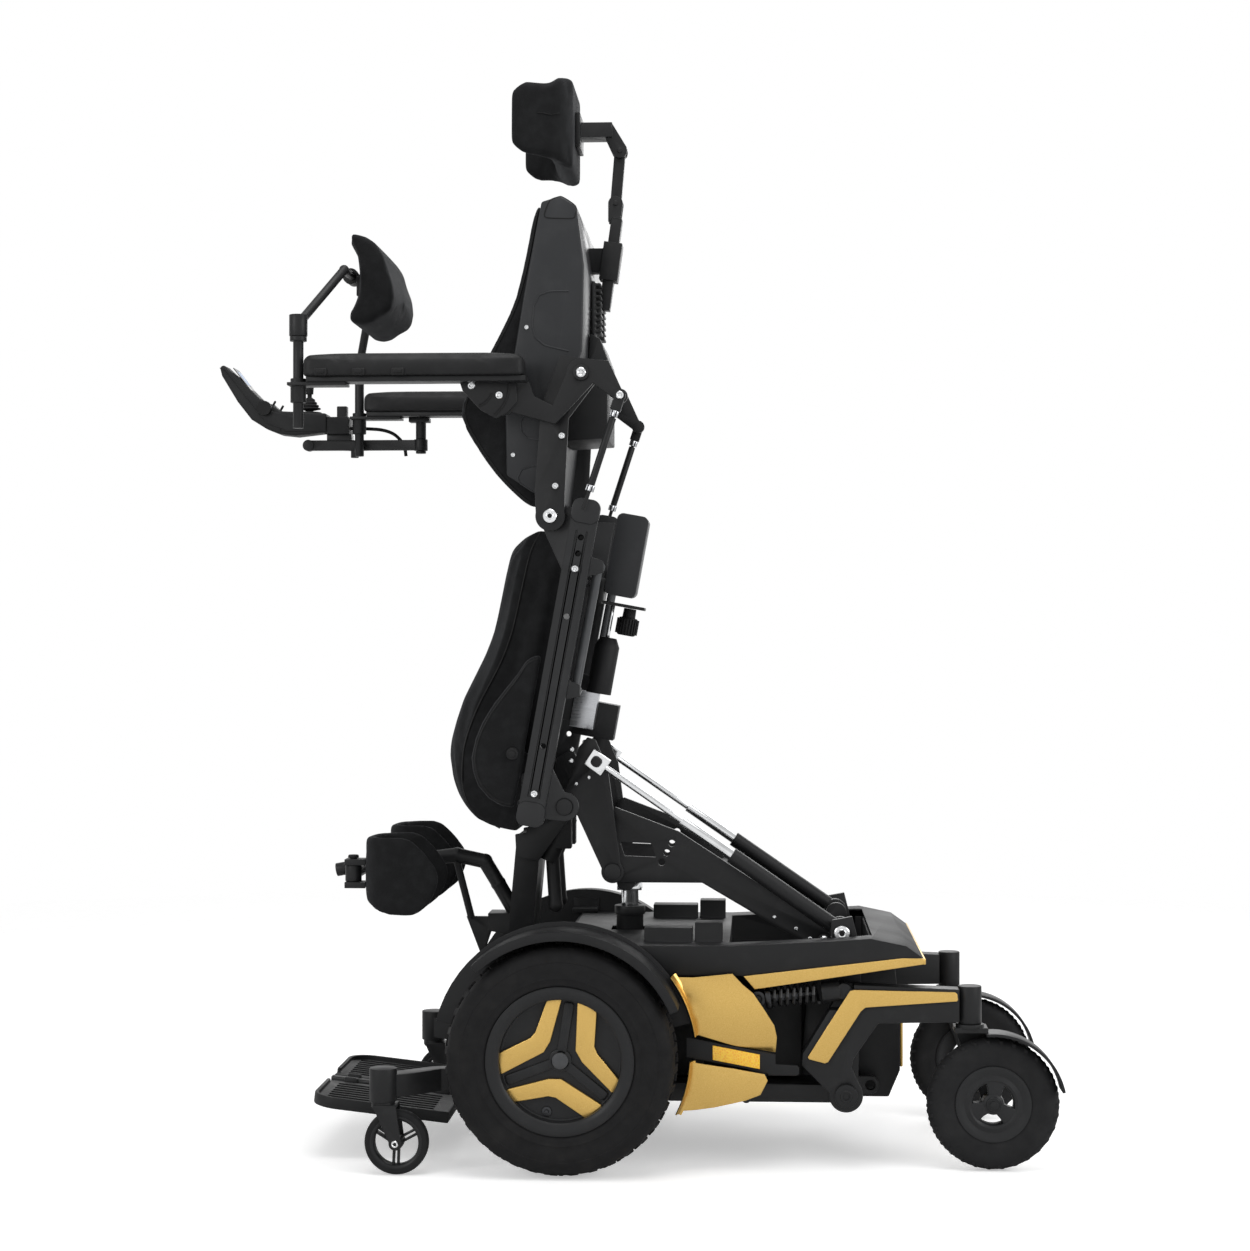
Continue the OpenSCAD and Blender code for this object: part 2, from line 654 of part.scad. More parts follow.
module swing_arm(side) {
    on_side(side) {
        color("#1d1e1f") difference() {
            union() {
                side_plate(swivel_y - arm_t / 2 + 2, swivel_y + arm_t / 2 + 2) swing_outline();
                z_bar(swivel_x, swivel_y, beam_low_z - 4, beam_top_z + 4, rear_housing_d);
                side_plate(shock_y - 24, shock_y - 12.5)
                    translate([shock_rear_x, shock_rear_z]) circle(d = shock_eye_d);
            }
            y_bar(swing_x, swing_z, swivel_y - 40, swivel_y + 40, bore_of(swing_axle_d));
            z_bar(swivel_x, swivel_y, beam_low_z - 10, beam_top_z - 4, bore_of(rear_stem_d));
            block([shock_front_x - 20, shock_y - 12.5, shock_front_z - 16],
                [shock_rear_x + 15, swivel_y + 40, beam_top_z + 20]);
        }
        color("#8d9092") difference() {
            union() {
                y_bar(shock_rear_x, shock_rear_z, shock_y - 12.5 + seam, shock_y + 12.5, shock_eye_d);
                along_shock(RIGHT) translate([0, 0, spring_end + 2]) cylinder(h = shock_l - spring_end - 8, d = spring_d - 2);
            }
            along_shock(RIGHT) translate([0, 0, spring_end]) cylinder(h = shock_l - spring_end - 14, d = 20);
        }
        color("#d8b95f") side_plate(swivel_y + arm_t / 2 + 2 + seam, swivel_y + arm_t / 2 + 2 + insert_t)
            difference() {
                insert_outline();
                translate([shock_front_x - 20, shock_front_z - 16]) square([155, 60]);
            }
    }
}

// Shock: damper body on the frame's pin, with a coil spring around it
shock_dx = shock_rear_x - shock_front_x;
shock_dz = shock_rear_z - shock_front_z;
shock_l = sqrt(shock_dx * shock_dx + shock_dz * shock_dz);
shock_tilt = atan2(shock_dx, shock_dz);
damper_d = 18;
spring_d = 34;
spring_wire = 5;
spring_turns = 7;
spring_start = 20;
spring_end = 96;
spring_seat = spring_wire / 2 + tiny;
spring_sides = 6;
spring_steps = 8;
module along_shock(side) {
    on_side(side) translate([shock_front_x, shock_y, shock_front_z]) rotate([0, shock_tilt, 0]) children();
}
function spring_place(i) = let(
    n = spring_turns * spring_steps,
    t = min(max(i - 1, 0), n) / n,
    a = t * spring_turns * 360,
    r = (spring_d - spring_wire) / 2,
    lead = i < 1 ? -spring_wire : (i > n + 1 ? spring_wire : 0)
) [
    r * cos(a) + lead * sin(a) * -1,
    r * sin(a) + lead * cos(a),
    spring_start + spring_seat + t * (spring_end - spring_start - 2 * spring_seat)
];
function unit(v) = v / norm(v);
function ring_points(path, i, r, sides) = let(
    last = len(path) - 1,
    along = unit(path[min(i + 1, last)] - path[max(i - 1, 0)]),
    side_dir = unit(cross(along, abs(along[2]) > 0.9 ? [1, 0, 0] : [0, 0, 1])),
    up_dir = cross(side_dir, along)
) [for (k = [0 : sides - 1]) path[i] + r * (cos(k * 360 / sides) * side_dir + sin(k * 360 / sides) * up_dir)];
// Closed tube through a list of places
module tube_along(path, r, sides) {
    n = len(path);
    points = [for (i = [0 : n - 1]) each ring_points(path, i, r, sides)];
    walls = [for (i = [0 : n - 2]) for (k = [0 : sides - 1]) each [
        [i * sides + k, i * sides + (k + 1) % sides, (i + 1) * sides + k],
        [i * sides + (k + 1) % sides, (i + 1) * sides + (k + 1) % sides, (i + 1) * sides + k]
    ]];
    ends = [for (k = [1 : sides - 2]) each [
        [0, k + 1, k], [(n - 1) * sides, (n - 1) * sides + k, (n - 1) * sides + k + 1]
    ]];
    polyhedron(points, concat(walls, ends));
}
spring_path = [for (i = [0 : spring_turns * spring_steps + 2]) spring_place(i)];
function least_gap(path, apart, wire) = min([
    for (i = [0 : len(path) - 1]) for (j = [i + apart : 1 : len(path) - 1]) norm(path[i] - path[j]) - wire
]);
echo(spring_least_gap = least_gap(spring_path, 5, spring_wire));
module shock_spring(side) {
    color("#2a2b2d") along_shock(side) tube_along(spring_path, spring_wire / 2, spring_sides);
}
module shock_dampers() {
    color("#8d9092") for (side = [LEFT, RIGHT]) along_shock(side) difference() {
        union() {
            rotate([90, 0, 0]) translate([0, 0, -12]) cylinder(h = 24, d = shock_eye_d);
            cylinder(h = 62, d = damper_d);
            translate([0, 0, 12]) cylinder(h = spring_start - 12, d = spring_d + 2);
            cylinder(h = spring_end - 8, d = 10);
        }
        rotate([90, 0, 0]) translate([0, 0, -20]) cylinder(h = 40, d = bore_of(shock_pin_d));
    }
}

// Rear caster fork with its half mudguard
fork_gap = 3;
fork_t = 8;
rear_fork_in = rear_wheel_w / 2 + fork_gap;
rear_axle_d = 12;
guard_strip_t = 4.5;
rear_guard_r = rear_wheel_d / 2 + 3.5;
module rear_fork(side) {
    on_side(side) {
        color("#1f2021") difference() {
            union() {
                z_bar(swivel_x, swivel_y, rear_wheel_z + rear_wheel_d / 2 + 12, beam_top_z - 6, rear_stem_d);
                z_bar(swivel_x, swivel_y, rear_wheel_d + 14, beam_low_z - 4 - tiny, 44);
                block([swivel_x - 24, swivel_y - rear_fork_in - fork_t, rear_wheel_d + 7],
                    [swivel_x + 27, swivel_y + rear_fork_in - 4, rear_wheel_d + 15]);
                side_plate(swivel_y - rear_fork_in - fork_t, swivel_y - rear_fork_in) {
                    polygon([
                        [swivel_x - 24, rear_wheel_d + 14], [swivel_x + 27, rear_wheel_d + 14],
                        [rear_wheel_x + 14, rear_wheel_z], [rear_wheel_x - 14, rear_wheel_z]
                    ]);
                    translate([rear_wheel_x, rear_wheel_z]) circle(d = 34);
                }
                y_bar(rear_wheel_x, rear_wheel_z, swivel_y - rear_fork_in - fork_t + 1,
                    swivel_y + rear_fork_in - 0.5, rear_axle_d);
            }
        }
        color("#191a1b") intersection() {
            translate([rear_wheel_x, swivel_y, rear_wheel_z]) rotate([90, 0, 0]) rotate_extrude()
                translate([rear_guard_r, -rear_fork_in - fork_t])
                    square([guard_strip_t, 2 * rear_fork_in + fork_t]);
            side_plate(swivel_y - 60, swivel_y + 60) polygon([
                [rear_wheel_x, rear_wheel_z], [rear_wheel_x - 16, rear_wheel_z + 150],
                [rear_wheel_x + 150, rear_wheel_z + 150], [rear_wheel_x + 150, rear_wheel_z + 30]
            ]);
        }
    }
}
module wheel_with_openings(r_rim, r_hub, w, openings) {
    difference() {
        union() {
            rotate_extrude() polygon([
                [r_rim - 9, -w / 2 + 3], [r_rim, -w / 2 + 2], [r_rim, w / 2 - 2], [r_rim - 9, w / 2 - 3]
            ]);
            translate([0, 0, -w / 2 + 7]) cylinder(h = w - 14, r = r_rim - 1);
            translate([0, 0, -w / 2 - 1]) cylinder(h = w + 2, r = r_hub);
        }
        for (i = [0 : openings - 1]) rotate([0, 0, i * 360 / openings]) linear_extrude(2 * w, center = true)
            intersection() {
                translate([(r_rim + r_hub) / 2 - 1, 0]) scale([1, 1]) circle(d = r_rim - r_hub - 13);
                square(r_rim * 4, center = true);
            }
    }
}
module rear_wheel(side) {
    on_side(side) translate([rear_wheel_x, swivel_y, rear_wheel_z]) rotate([-90, 0, 0]) {
        r_rim = rear_wheel_z - 44 - seam;
        color("#6a6c6e") difference() {
            wheel_with_openings(r_rim, 16, rear_wheel_w - 4, 3);
            translate([0, 0, -rear_wheel_w]) cylinder(h = 2 * rear_wheel_w, d = bore_of(rear_axle_d));
        }
        color("#2b2c2d") rotate_extrude() polygon([
            [r_rim + seam, -13], [r_rim + 10, -rear_wheel_w / 2 + 2], [rear_wheel_z - 14, -rear_wheel_w / 2],
            [rear_wheel_z - 4, -rear_wheel_w / 2 + 6], [rear_wheel_z, -6], [rear_wheel_z, 6],
            [rear_wheel_z - 4, rear_wheel_w / 2 - 6], [rear_wheel_z - 14, rear_wheel_w / 2],
            [r_rim + 10, rear_wheel_w / 2 - 2], [r_rim + seam, 13]
        ]);
    }
}

// Front stabiliser casters
front_stem_d = 12;
front_housing_z0 = front_wheel_d + 13;
front_housing_z1 = front_housing_z0 + 50;
front_fork_in = front_wheel_w / 2 + 3;
front_axle_d = 8;
module front_fork(side) {
    on_side(side) color("#222324") {
        z_bar(front_swivel_x, front_swivel_y, front_wheel_d + 4, front_housing_z1 - 8, front_stem_d);
        z_bar(front_swivel_x, front_swivel_y, front_wheel_d + 4, front_housing_z0 - tiny, 36);
        block([front_swivel_x - 14, front_swivel_y - front_fork_in - 4, front_wheel_d + 4],
            [front_swivel_x + 22, front_swivel_y + front_fork_in + 4, front_wheel_d + 9]);
        for (y = [front_swivel_y - front_fork_in - 4, front_swivel_y + front_fork_in])
            side_plate(y, y + 4) {
                polygon([
                    [front_swivel_x - 14, front_wheel_d + 9], [front_swivel_x + 22, front_wheel_d + 9],
                    [front_wheel_x + 9, front_wheel_z], [front_wheel_x - 9, front_wheel_z]
                ]);
                translate([front_wheel_x, front_wheel_z]) circle(d = 20);
            }
        y_bar(front_wheel_x, front_wheel_z, front_swivel_y - front_fork_in - 7,
            front_swivel_y + front_fork_in + 7, front_axle_d);
    }
}
module front_wheel(side) {
    on_side(side) translate([front_wheel_x, front_swivel_y, front_wheel_z]) rotate([-90, 0, 0]) {
        r_rim = front_wheel_z - 13;
        color("#5c5e60") difference() {
            wheel_with_openings(r_rim, 11, front_wheel_w, 3);
            translate([0, 0, -front_wheel_w]) cylinder(h = 2 * front_wheel_w, d = bore_of(front_axle_d));
        }
        color("#2b2c2d") rotate_extrude() polygon([
            [r_rim + seam, -11], [front_wheel_z - 3, -11], [front_wheel_z, -7], [front_wheel_z, 7],
            [front_wheel_z - 3, 11], [r_rim + seam, 11]
        ]);
    }
}

// Lift arms: two plates joined by a push tube and a middle tube
push_tube_d = 30;
module lift_arm_outline() {
    difference() {
        union() {
            polygon([
                [shank_x - 8, shank_z + 94], [shank_x + 4, shank_z + 101], [shank_x + 104, shank_z + 63],
                [shank_x + 180, shank_z + 14], [lift_x + 8, lift_z + 17], [lift_x + 2, lift_z - 18],
                [lift_x - 19, lift_z - 12], [shank_x + 141, shank_z - 18], [shank_x + 6, shank_z - 18],
                [shank_x - 16, shank_z]
            ]);
            translate([shank_x, shank_z]) circle(d = 36);
            translate([lift_x, lift_z]) circle(d = 38);
        }
        polygon([
            [shank_x + 11, shank_z + 46], [shank_x + 60, shank_z + 44], [shank_x + 68, shank_z + 22],
            [shank_x + 18, shank_z + 24]
        ]);
        for (i = [0 : 2]) translate([shank_x + 93 - 8 * i, shank_z + 44 - 15 * i]) circle(d = 11);
    }
}
module lift_arms() {
    color("#2a2b2c") difference() {
        union() {
            both_sides() side_plate(arm_in_y, arm_in_y + lift_arm_t) lift_arm_outline();
            y_bar(column_x, push_z, -arm_in_y - 1, arm_in_y + 1, push_tube_d);
            y_bar(shank_x + 170, shank_z - 14, -arm_in_y - 1, arm_in_y + 1, 32);
            y_bar(shank_x, shank_z, -carrier_in_y - carrier_t - 1, carrier_in_y + carrier_t + 1, lift_shaft_d);
            both_sides() y_bar(shank_x, shank_z, carrier_in_y + carrier_t + 1, carrier_in_y + carrier_t + 5, 26);
        }
        y_bar(lift_x, lift_z, -deck_y, deck_y, bore_of(lift_shaft_d));
    }
}

// Telescopic tilt links: tube with its ring, and rod with its clevis
clevis_slack = 2;
pin_d = 8;
ring_w = 24;
module along_tilt() {
    translate([tilt_x, tilt_y, tilt_z]) rotate([0, tilt_angle, 0]) children();
}
module tilt_tubes() {
    color("#1b1c1d") both_sides() difference() {
        union() {
            y_bar(tilt_x, tilt_z, tilt_y - ring_w / 2, tilt_y + ring_w / 2, 36);
            along_tilt() cylinder(h = tilt_tube_l, d = tilt_tube_d);
            along_tilt() translate([0, 0, tilt_tube_l - 14]) cylinder(h = 14, d = tilt_tube_d - 0.5);
        }
        along_tilt() translate([0, 0, 24]) cylinder(h = tilt_tube_l, d = bore_of(tilt_rod_d));
        y_bar(tilt_x, tilt_z, tilt_y - 40, tilt_y + 40, bore_of(tilt_pin_d));
    }
}
module tilt_rods() {
    color("#d0d3d5") both_sides() difference() {
        union() {
            along_tilt() translate([0, 0, 70]) cylinder(h = tilt_tube_l + 25, d = tilt_rod_d);
            along_tilt() translate([0, 0, 90]) cylinder(h = tilt_l - 104, d = 10);
            along_tilt() translate([-14, -10, tilt_l - 18]) cube([28, 20, 32]);
        }
        y_bar(pin_x, pin_z, tilt_y - 40, tilt_y + 40, pin_d + 2 * clevis_slack);
    }
}

// Carrier: two plates, the link pins and the knee shaft across the chair
knee_shaft_y = seat_in_y + 4;
module carrier_outline() {
    difference() {
        union() {
            polygon([
                [knee_x - 20, knee_z - 8], [knee_x + 3, knee_z + 44], [shank_x - 54, shank_z + 196],
                [shank_x - 40, shank_z + 212], [shank_x - 27, shank_z + 208], [shank_x - 7, shank_z + 158],
                [shank_x + 14, shank_z + 3], [shank_x - 14, shank_z - 2], [knee_x + 12, knee_z - 20]
            ]);
            translate([shank_x, shank_z]) circle(d = 36);
            translate([knee_x, knee_z]) circle(d = 46);
        }
        translate([shank_x, shank_z]) circle(d = bore_of(lift_shaft_d));
    }
}
module carrier() {
    color("#2e2f31") union() {
        both_sides() {
            side_plate(carrier_in_y, carrier_in_y + carrier_t) carrier_outline();
            y_bar(pin_x, pin_z, carrier_in_y + carrier_t - 1, tilt_y + 16, pin_d);
            y_bar(pin_x, pin_z, tilt_y + 12, tilt_y + 17, 16);
        }
        y_bar(knee_x, knee_z, -knee_shaft_y, knee_shaft_y, knee_shaft_d);
    }
}

// Seat frame: two rails with knee and hip plates, and the pan behind the cushion
rail_holes = [seat_rail_l - 55, seat_rail_l - 80, 322, 120];
groove_w = 3;
module on_rail_frame() {
    translate([rail_foot_x, 0, rail_foot_z]) rotate([0, seat_lean, 0]) children();
}
module rounded_bar(w, y0, y1, z0, z1, r) {
    translate([-w / 2 + r, y0, z0]) cube([w - 2 * r, y1 - y0, z1 - z0]);
    translate([-w / 2, y0, z0 + r]) cube([w, y1 - y0, z1 - z0 - 2 * r]);
    for (x = [-w / 2 + r, w / 2 - r]) for (z = [z0 + r, z1 - r]) y_bar(x, z, y0, y1, 2 * r);
}
module seat_rail() {
    on_rail_frame() difference() {
        rounded_bar(seat_rail_w, seat_in_y, seat_out_y, 0, seat_rail_l, 12);
        for (v = [-8, 8]) translate([v - groove_w / 2, seat_out_y - 2, 40])
            cube([groove_w, 5, seat_rail_l - 85]);
        for (u = rail_holes) translate([0, seat_in_y - 1, u]) rotate([-90, 0, 0])
            cylinder(h = seat_rail_t + 2, d = rail_hole_d);
    }
}
strut_y = seat_in_y - 20;
strut_lug_y = seat_in_y - 8;
strut_top = [hip_x + 72, hip_z - 78];
strut_low = [hip_x + 36, hip_z - 268];
pan_low = 128;
pan_slot_y = 179;
module seat_frame() {
    color("#3a3b3d") difference() {
        union() {
            both_sides() {
                seat_rail();
                side_plate(seat_in_y - hip_plate_t, seat_in_y + 0.5) {
                    polygon([
                        [knee_x, knee_z + 22], [knee_x, knee_z - 22], on_rail(-12, 6), on_rail(-12, 76),
                        on_rail(12, 96)
                    ]);
                    translate([knee_x, knee_z]) circle(d = 44);
                    polygon([
                        [hip_x - 14, hip_z - 14], [hip_x - 10, hip_z + 16], on_rail(14, seat_rail_l - 6),
                        on_rail(14, seat_rail_l - 110), on_rail(-14, seat_rail_l - 120)
                    ]);
                    translate([hip_x, hip_z]) circle(d = 40);
                }
                for (p = [strut_low, strut_top]) side_plate(strut_lug_y, seat_in_y + 0.5) polygon([
                    [p[0] + 9, p[1] + 9], [p[0] + 9, p[1] - 9], [p[0] - 30, p[1] - 18], [p[0] - 26, p[1] + 22]
                ]);
                on_rail_frame() {
                    translate([0, seat_out_y - 0.5, seat_rail_l - 104]) rotate([-90, 0, 0])
                        cylinder(h = head_h + 0.5, d = 12);
                    translate([0, seat_out_y - 0.5, 46]) rotate([-90, 0, 0])
                        cylinder(h = head_h + 0.5, d = 12);
                    for (u = [-5, seat_rail_l - 33])
                        rounded_bar(seat_rail_w + 2, seat_in_y - 1, seat_out_y + 1, u, u + 38, 13);
                }
            }
            on_rail_frame() difference() {
                translate([-pad_face, -seat_in_y - 1, 95]) cube([pan_t, 2 * seat_in_y + 2, seat_rail_l - 190]);
                translate([-pad_face - 1, -pan_slot_y, 90]) cube([pan_t + 2, 2 * pan_slot_y, pan_low - 90]);
            }
        }
        y_bar(knee_x, knee_z, -300, 300, bore_of(knee_shaft_d));
        y_bar(hip_x, hip_z, -300, 300, bore_of(hip_pin_d));
    }
}

// Seat cushion, crowned across and thicker behind the knees
hip_pin_d = 16;
cushion_back = -pad_face - soft_gap;
cushion_low = -26;
cushion_top = seat_rail_l - 46;
function smooth(t) = t * t * (3 - 2 * t);
function clamp01(t) = min(max(t, 0), 1);
cushion_profile = [
    [cushion_low, 52], [-20, 83], [-6, 103], [13, 118.5], [35, 130], [62, 136], [94, 138], [126, 135.5], [163, 130],
    [200, 119], [237, 108], [274, 101], [303, 99], [338, 98], [373, 97.5], [402, 96], [424, 92.5], [439, 86],
    [cushion_top, 66]
];
module soft_block(us, depth, half_w, back_face, hollow = function (u, s) 0) {
    nu = len(us);
    ny = len(across_steps);
    front = [for (u = us) for (s = across_steps) [back_face - depth(u, s), s * half_w(u), u]];
    back = [for (u = us) for (s = across_steps) [back_face - hollow(u, s), s * half_w(u), u]];
    n = nu * ny;
    function f(i, j) = i * ny + j;
    faces_across = [for (i = [0 : nu - 2]) for (j = [0 : ny - 2]) each [
        [f(i, j), f(i, j + 1), f(i + 1, j)], [f(i, j + 1), f(i + 1, j + 1), f(i + 1, j)],
        [n + f(i, j), n + f(i + 1, j), n + f(i, j + 1)],
        [n + f(i, j + 1), n + f(i + 1, j), n + f(i + 1, j + 1)]
    ]];
    faces_ends = [for (j = [0 : ny - 2]) each [
        [f(0, j), n + f(0, j), f(0, j + 1)], [f(0, j + 1), n + f(0, j), n + f(0, j + 1)],
        [f(nu - 1, j), f(nu - 1, j + 1), n + f(nu - 1, j)],
        [f(nu - 1, j + 1), n + f(nu - 1, j + 1), n + f(nu - 1, j)]
    ]];
    faces_sides = [for (i = [0 : nu - 2]) each [
        [f(i, 0), f(i + 1, 0), n + f(i, 0)], [f(i + 1, 0), n + f(i + 1, 0), n + f(i, 0)],
        [f(i, ny - 1), n + f(i, ny - 1), f(i + 1, ny - 1)],
        [f(i + 1, ny - 1), n + f(i, ny - 1), n + f(i + 1, ny - 1)]
    ]];
    polyhedron(concat(front, back), concat(faces_across, faces_ends, faces_sides));
}
cushion_us = [for (p = cushion_profile) p[0]];
across_steps = [-1, -0.97, -0.88, -0.7, -0.4, 0, 0.4, 0.7, 0.88, 0.97, 1];
function cushion_half_w(u) = cushion_w / 2 - 5 * pow(abs(2 * (u - cushion_low) / (cushion_top - cushion_low) - 1), 4);
function cushion_depth(u, s) =
    max(22, lookup(u, cushion_profile) * cushion_knee_t / 138 * (1 - 0.17 * pow(s, 4)) - 3 * s * s);
// Hollow in the back of the seat cushion: the carrier swings into it as the seat goes down
hollow_depth = [[-6, 0], [13, 10], [35, 29], [62, 40], [94, 28], [126, 0]];
hollow_side = [[0.88, 1], [0.97, 0.45], [1, 0]];
function cushion_hollow(u, s) = u > 126 ? 0 : lookup(u, hollow_depth) * lookup(abs(s), hollow_side);
module seat_cushion() {
    color("#242526") on_rail_frame()
        soft_block(cushion_us, function (u, s) cushion_depth(u, s), function (u) cushion_half_w(u), cushion_back,
            function (u, s) cushion_hollow(u, s));
}

// Soft pad with an outline in the XZ plane, rounded by e at both faces
function inward(o, i) = let(
    n = len(o),
    along = unit(o[(i + 1) % n] - o[(i + n - 1) % n])
) [-along[1], along[0]];
module soft_roll(outline, y0, y1, e) {
    rings = [[y0, e], [y0 + 0.15 * e, 0.55 * e], [y0 + 0.5 * e, 0.15 * e], [y0 + e, 0],
        [y1 - e, 0], [y1 - 0.5 * e, 0.15 * e], [y1 - 0.15 * e, 0.55 * e], [y1, e]];
    n = len(outline);
    last = len(rings) - 1;
    points = [for (r = rings) for (i = [0 : n - 1])
        let(p = outline[i] + r[1] * inward(outline, i)) [p[0], r[0], p[1]]];
    // The broad middle band comes first
    walls = [for (j = [3, 0, 1, 2, 4, 5, 6]) for (i = [0 : n - 1]) each [
        [j * n + i, j * n + (i + 1) % n, (j + 1) * n + i],
        [j * n + (i + 1) % n, (j + 1) * n + (i + 1) % n, (j + 1) * n + i]
    ]];
    caps = [for (i = [0 : n / 2 - 2]) each [
        [i, n - 1 - i, i + 1], [i + 1, n - 1 - i, n - 2 - i],
        [last * n + i, last * n + i + 1, last * n + n - 1 - i],
        [last * n + i + 1, last * n + n - 2 - i, last * n + n - 1 - i]
    ]];
    polyhedron(points, concat(walls, caps));
}

// Thigh side pads with their clamp knobs
thigh_t = 26;
thigh_y = seat_out_y - thigh_t - 1;
thigh_outline = [
    [-28, 259], [-41, 255], [-52, 245], [-61, 222], [-74, 199], [-90, 169], [-102, 139], [-108, 110], [-109, 82],
    [-103, 62], [-91, 40], [-70, 23], [-48, 15], [-28, 16]
];
seam = 0.05;
module thigh_pads() {
    color("#1f2022") both_sides() on_rail_frame() soft_roll(thigh_outline, thigh_y, thigh_y + thigh_t, 9);
    color("#101112") both_sides() on_rail_frame() {
        translate([-44, thigh_y + thigh_t + seam, 100]) rotate([-90, 0, 0]) cylinder(h = 12, d = 20);
        translate([-30, seat_in_y - 12, 70]) cube([9, 10, 34]);
    }
}

// Recline motor: gear housing, pill shaped motor, drive box, bracket, rod and hand knob
motor_y = -72;
housing_low = 150;
housing_h = 59;
pill_d = 40;
pill_top = 286;
module_low = 352;
module seat_strut() {
    slant_bar(strut_low, strut_top, strut_y, 15);
    for (p = [strut_low, strut_top]) y_bar(p[0], p[1], strut_y - 8, strut_lug_y - seam, 20);
}
module seat_motor() {
    color("#55585b") both_sides() seat_strut();
    on_rail_frame() {
        color("#b4b7b9") translate([22, motor_y - 20, housing_low]) cube([38, 40, housing_h]);
        color("#1a1b1c") {
            translate([58, motor_y, housing_low + housing_h + seam]) cylinder(h = pill_top - housing_low - housing_h, d = pill_d);
            translate([58, motor_y, pill_top + seam]) cylinder(h = 14, d1 = pill_d, d2 = 26);
            translate([24, motor_y + 20 + seam, 137]) cube([69, 50, 57]);
        }
        color("#d0d3d5") translate([56, motor_y, pill_top + 14 + 2 * seam])
            cylinder(h = module_low - pill_top - 14 - 4 * seam, d = 7);
        color("#151617") translate([84, motor_y, 308]) cylinder(h = module_low - 308 - seam, d = 36);
        color("#2b2c2e") translate([-pad_face + pan_t + seam, motor_y - 16, 158])
            cube([22 + pad_face - pan_t - 2 * seam, 32, 40]);
    }
}

// Control module and the folded bracket that carries it behind the pan
module control_module() {
    on_rail_frame() {
        color("#6a6c6e") hull() {
            for (p = [[52, 378], [52, 488], [82, 378], [82, 488]])
                translate([p[0], -146, p[1]]) rotate([-90, 0, 0]) cylinder(h = 62, r = 10, $fn = 32);
        }
        color("#2d2e30") union() {
            translate([-pad_face + pan_t + seam, -144, 385]) cube([42 + pad_face - pan_t - 2 * seam, 90, 6]);
            translate([34, -144, module_low]) cube([7.5, 90, 39]);
            translate([34, -110, module_low]) cube([74, 56, 5]);
        }
    }
}

// Back frame: side plates with the hip pins, uprights, upholstery board and armrest pins
back_plate_y = seat_in_y + 2;
back_plate_t = 10;
board_x = hip_x - 16;
board_t = 4;
board_low = hip_z + 34;
board_top = hip_z + 480;
arm_pivot_x = hip_x + 49;
arm_pivot_z = hip_z + 218;
arm_pin_d = 14;
arm_plate_t = 10;
arm_y = arm_track / 2;
arm_plate_y = arm_y - 22;
socket_x = hip_x + 74;
socket_z = hip_z + 397;
bar_lean = 8;
bar_w = 18;
bar_t = 28;
slide_gap = 0.08;
module on_headrest_frame() {
    translate([socket_x, 0, socket_z]) rotate([0, bar_lean, 0]) children();
}
module back_side_outline() {
    polygon([
        [hip_x - 22, hip_z - 4], [hip_x + 22, hip_z - 4], [hip_x + 22, hip_z + 34],
        [hip_x + 28, hip_z + 150], [arm_pivot_x + 20, arm_pivot_z - 14],
        [arm_pivot_x + 14, arm_pivot_z + 22], [hip_x + 16, arm_pivot_z + 30],
        [hip_x - 14, hip_z + 170], [hip_x - 24, hip_z + 40]
    ]);
    translate([hip_x, hip_z]) circle(d = 46);
    translate([arm_pivot_x, arm_pivot_z]) circle(d = 40);
}
module back_frame() {
    color("#313234") union() {
        both_sides() {
            side_plate(back_plate_y, back_plate_y + back_plate_t) back_side_outline();
            y_bar(hip_x, hip_z, seat_in_y - hip_plate_t, back_plate_y + 1, hip_pin_d);
            y_bar(hip_x, hip_z, back_plate_y + back_plate_t - 1, back_plate_y + back_plate_t + 5, 22);
            y_bar(arm_pivot_x, arm_pivot_z, back_plate_y + 1, arm_plate_y - 2, 30);
            y_bar(arm_pivot_x, arm_pivot_z, back_plate_y + 1, arm_plate_y + arm_plate_t + 2, arm_pin_d);
            y_bar(arm_pivot_x, arm_pivot_z, arm_plate_y + arm_plate_t + 1, arm_plate_y + arm_plate_t + 5, 24);
            for (p = [[hip_x + 18, hip_z + 123], [hip_x + 8, hip_z + 46]])
                y_bar(p[0], p[1], back_plate_y + back_plate_t - 1, back_plate_y + back_plate_t + 3, 12);
            block([board_x + 1, back_w / 2 - 24, hip_z + 90], [board_x + 9, back_plate_y + 1, hip_z + 130]);
        }
        block([board_x, -back_w / 2 + 8, board_low], [board_x + board_t, back_w / 2 - 8, board_top]);
        block([board_x + 2, -back_w / 2 + 16, hip_z + 100], [board_x + 9, back_w / 2 - 16, hip_z + 120]);
        difference() {
            union() {
                block([board_x + 2, -18, socket_z + 14], [socket_x - 3, 18, socket_z + 52]);
                on_headrest_frame() translate([-bar_w / 2 - 6, -bar_t / 2 - 6, 0])
                    cube([bar_w + 12, bar_t + 12, 62]);
            }
            on_headrest_frame() translate([-bar_w / 2 - slide_gap, -bar_t / 2 - slide_gap, -60])
                cube([bar_w + 2 * slide_gap, bar_t + 2 * slide_gap, 180]);
        }
    }
}

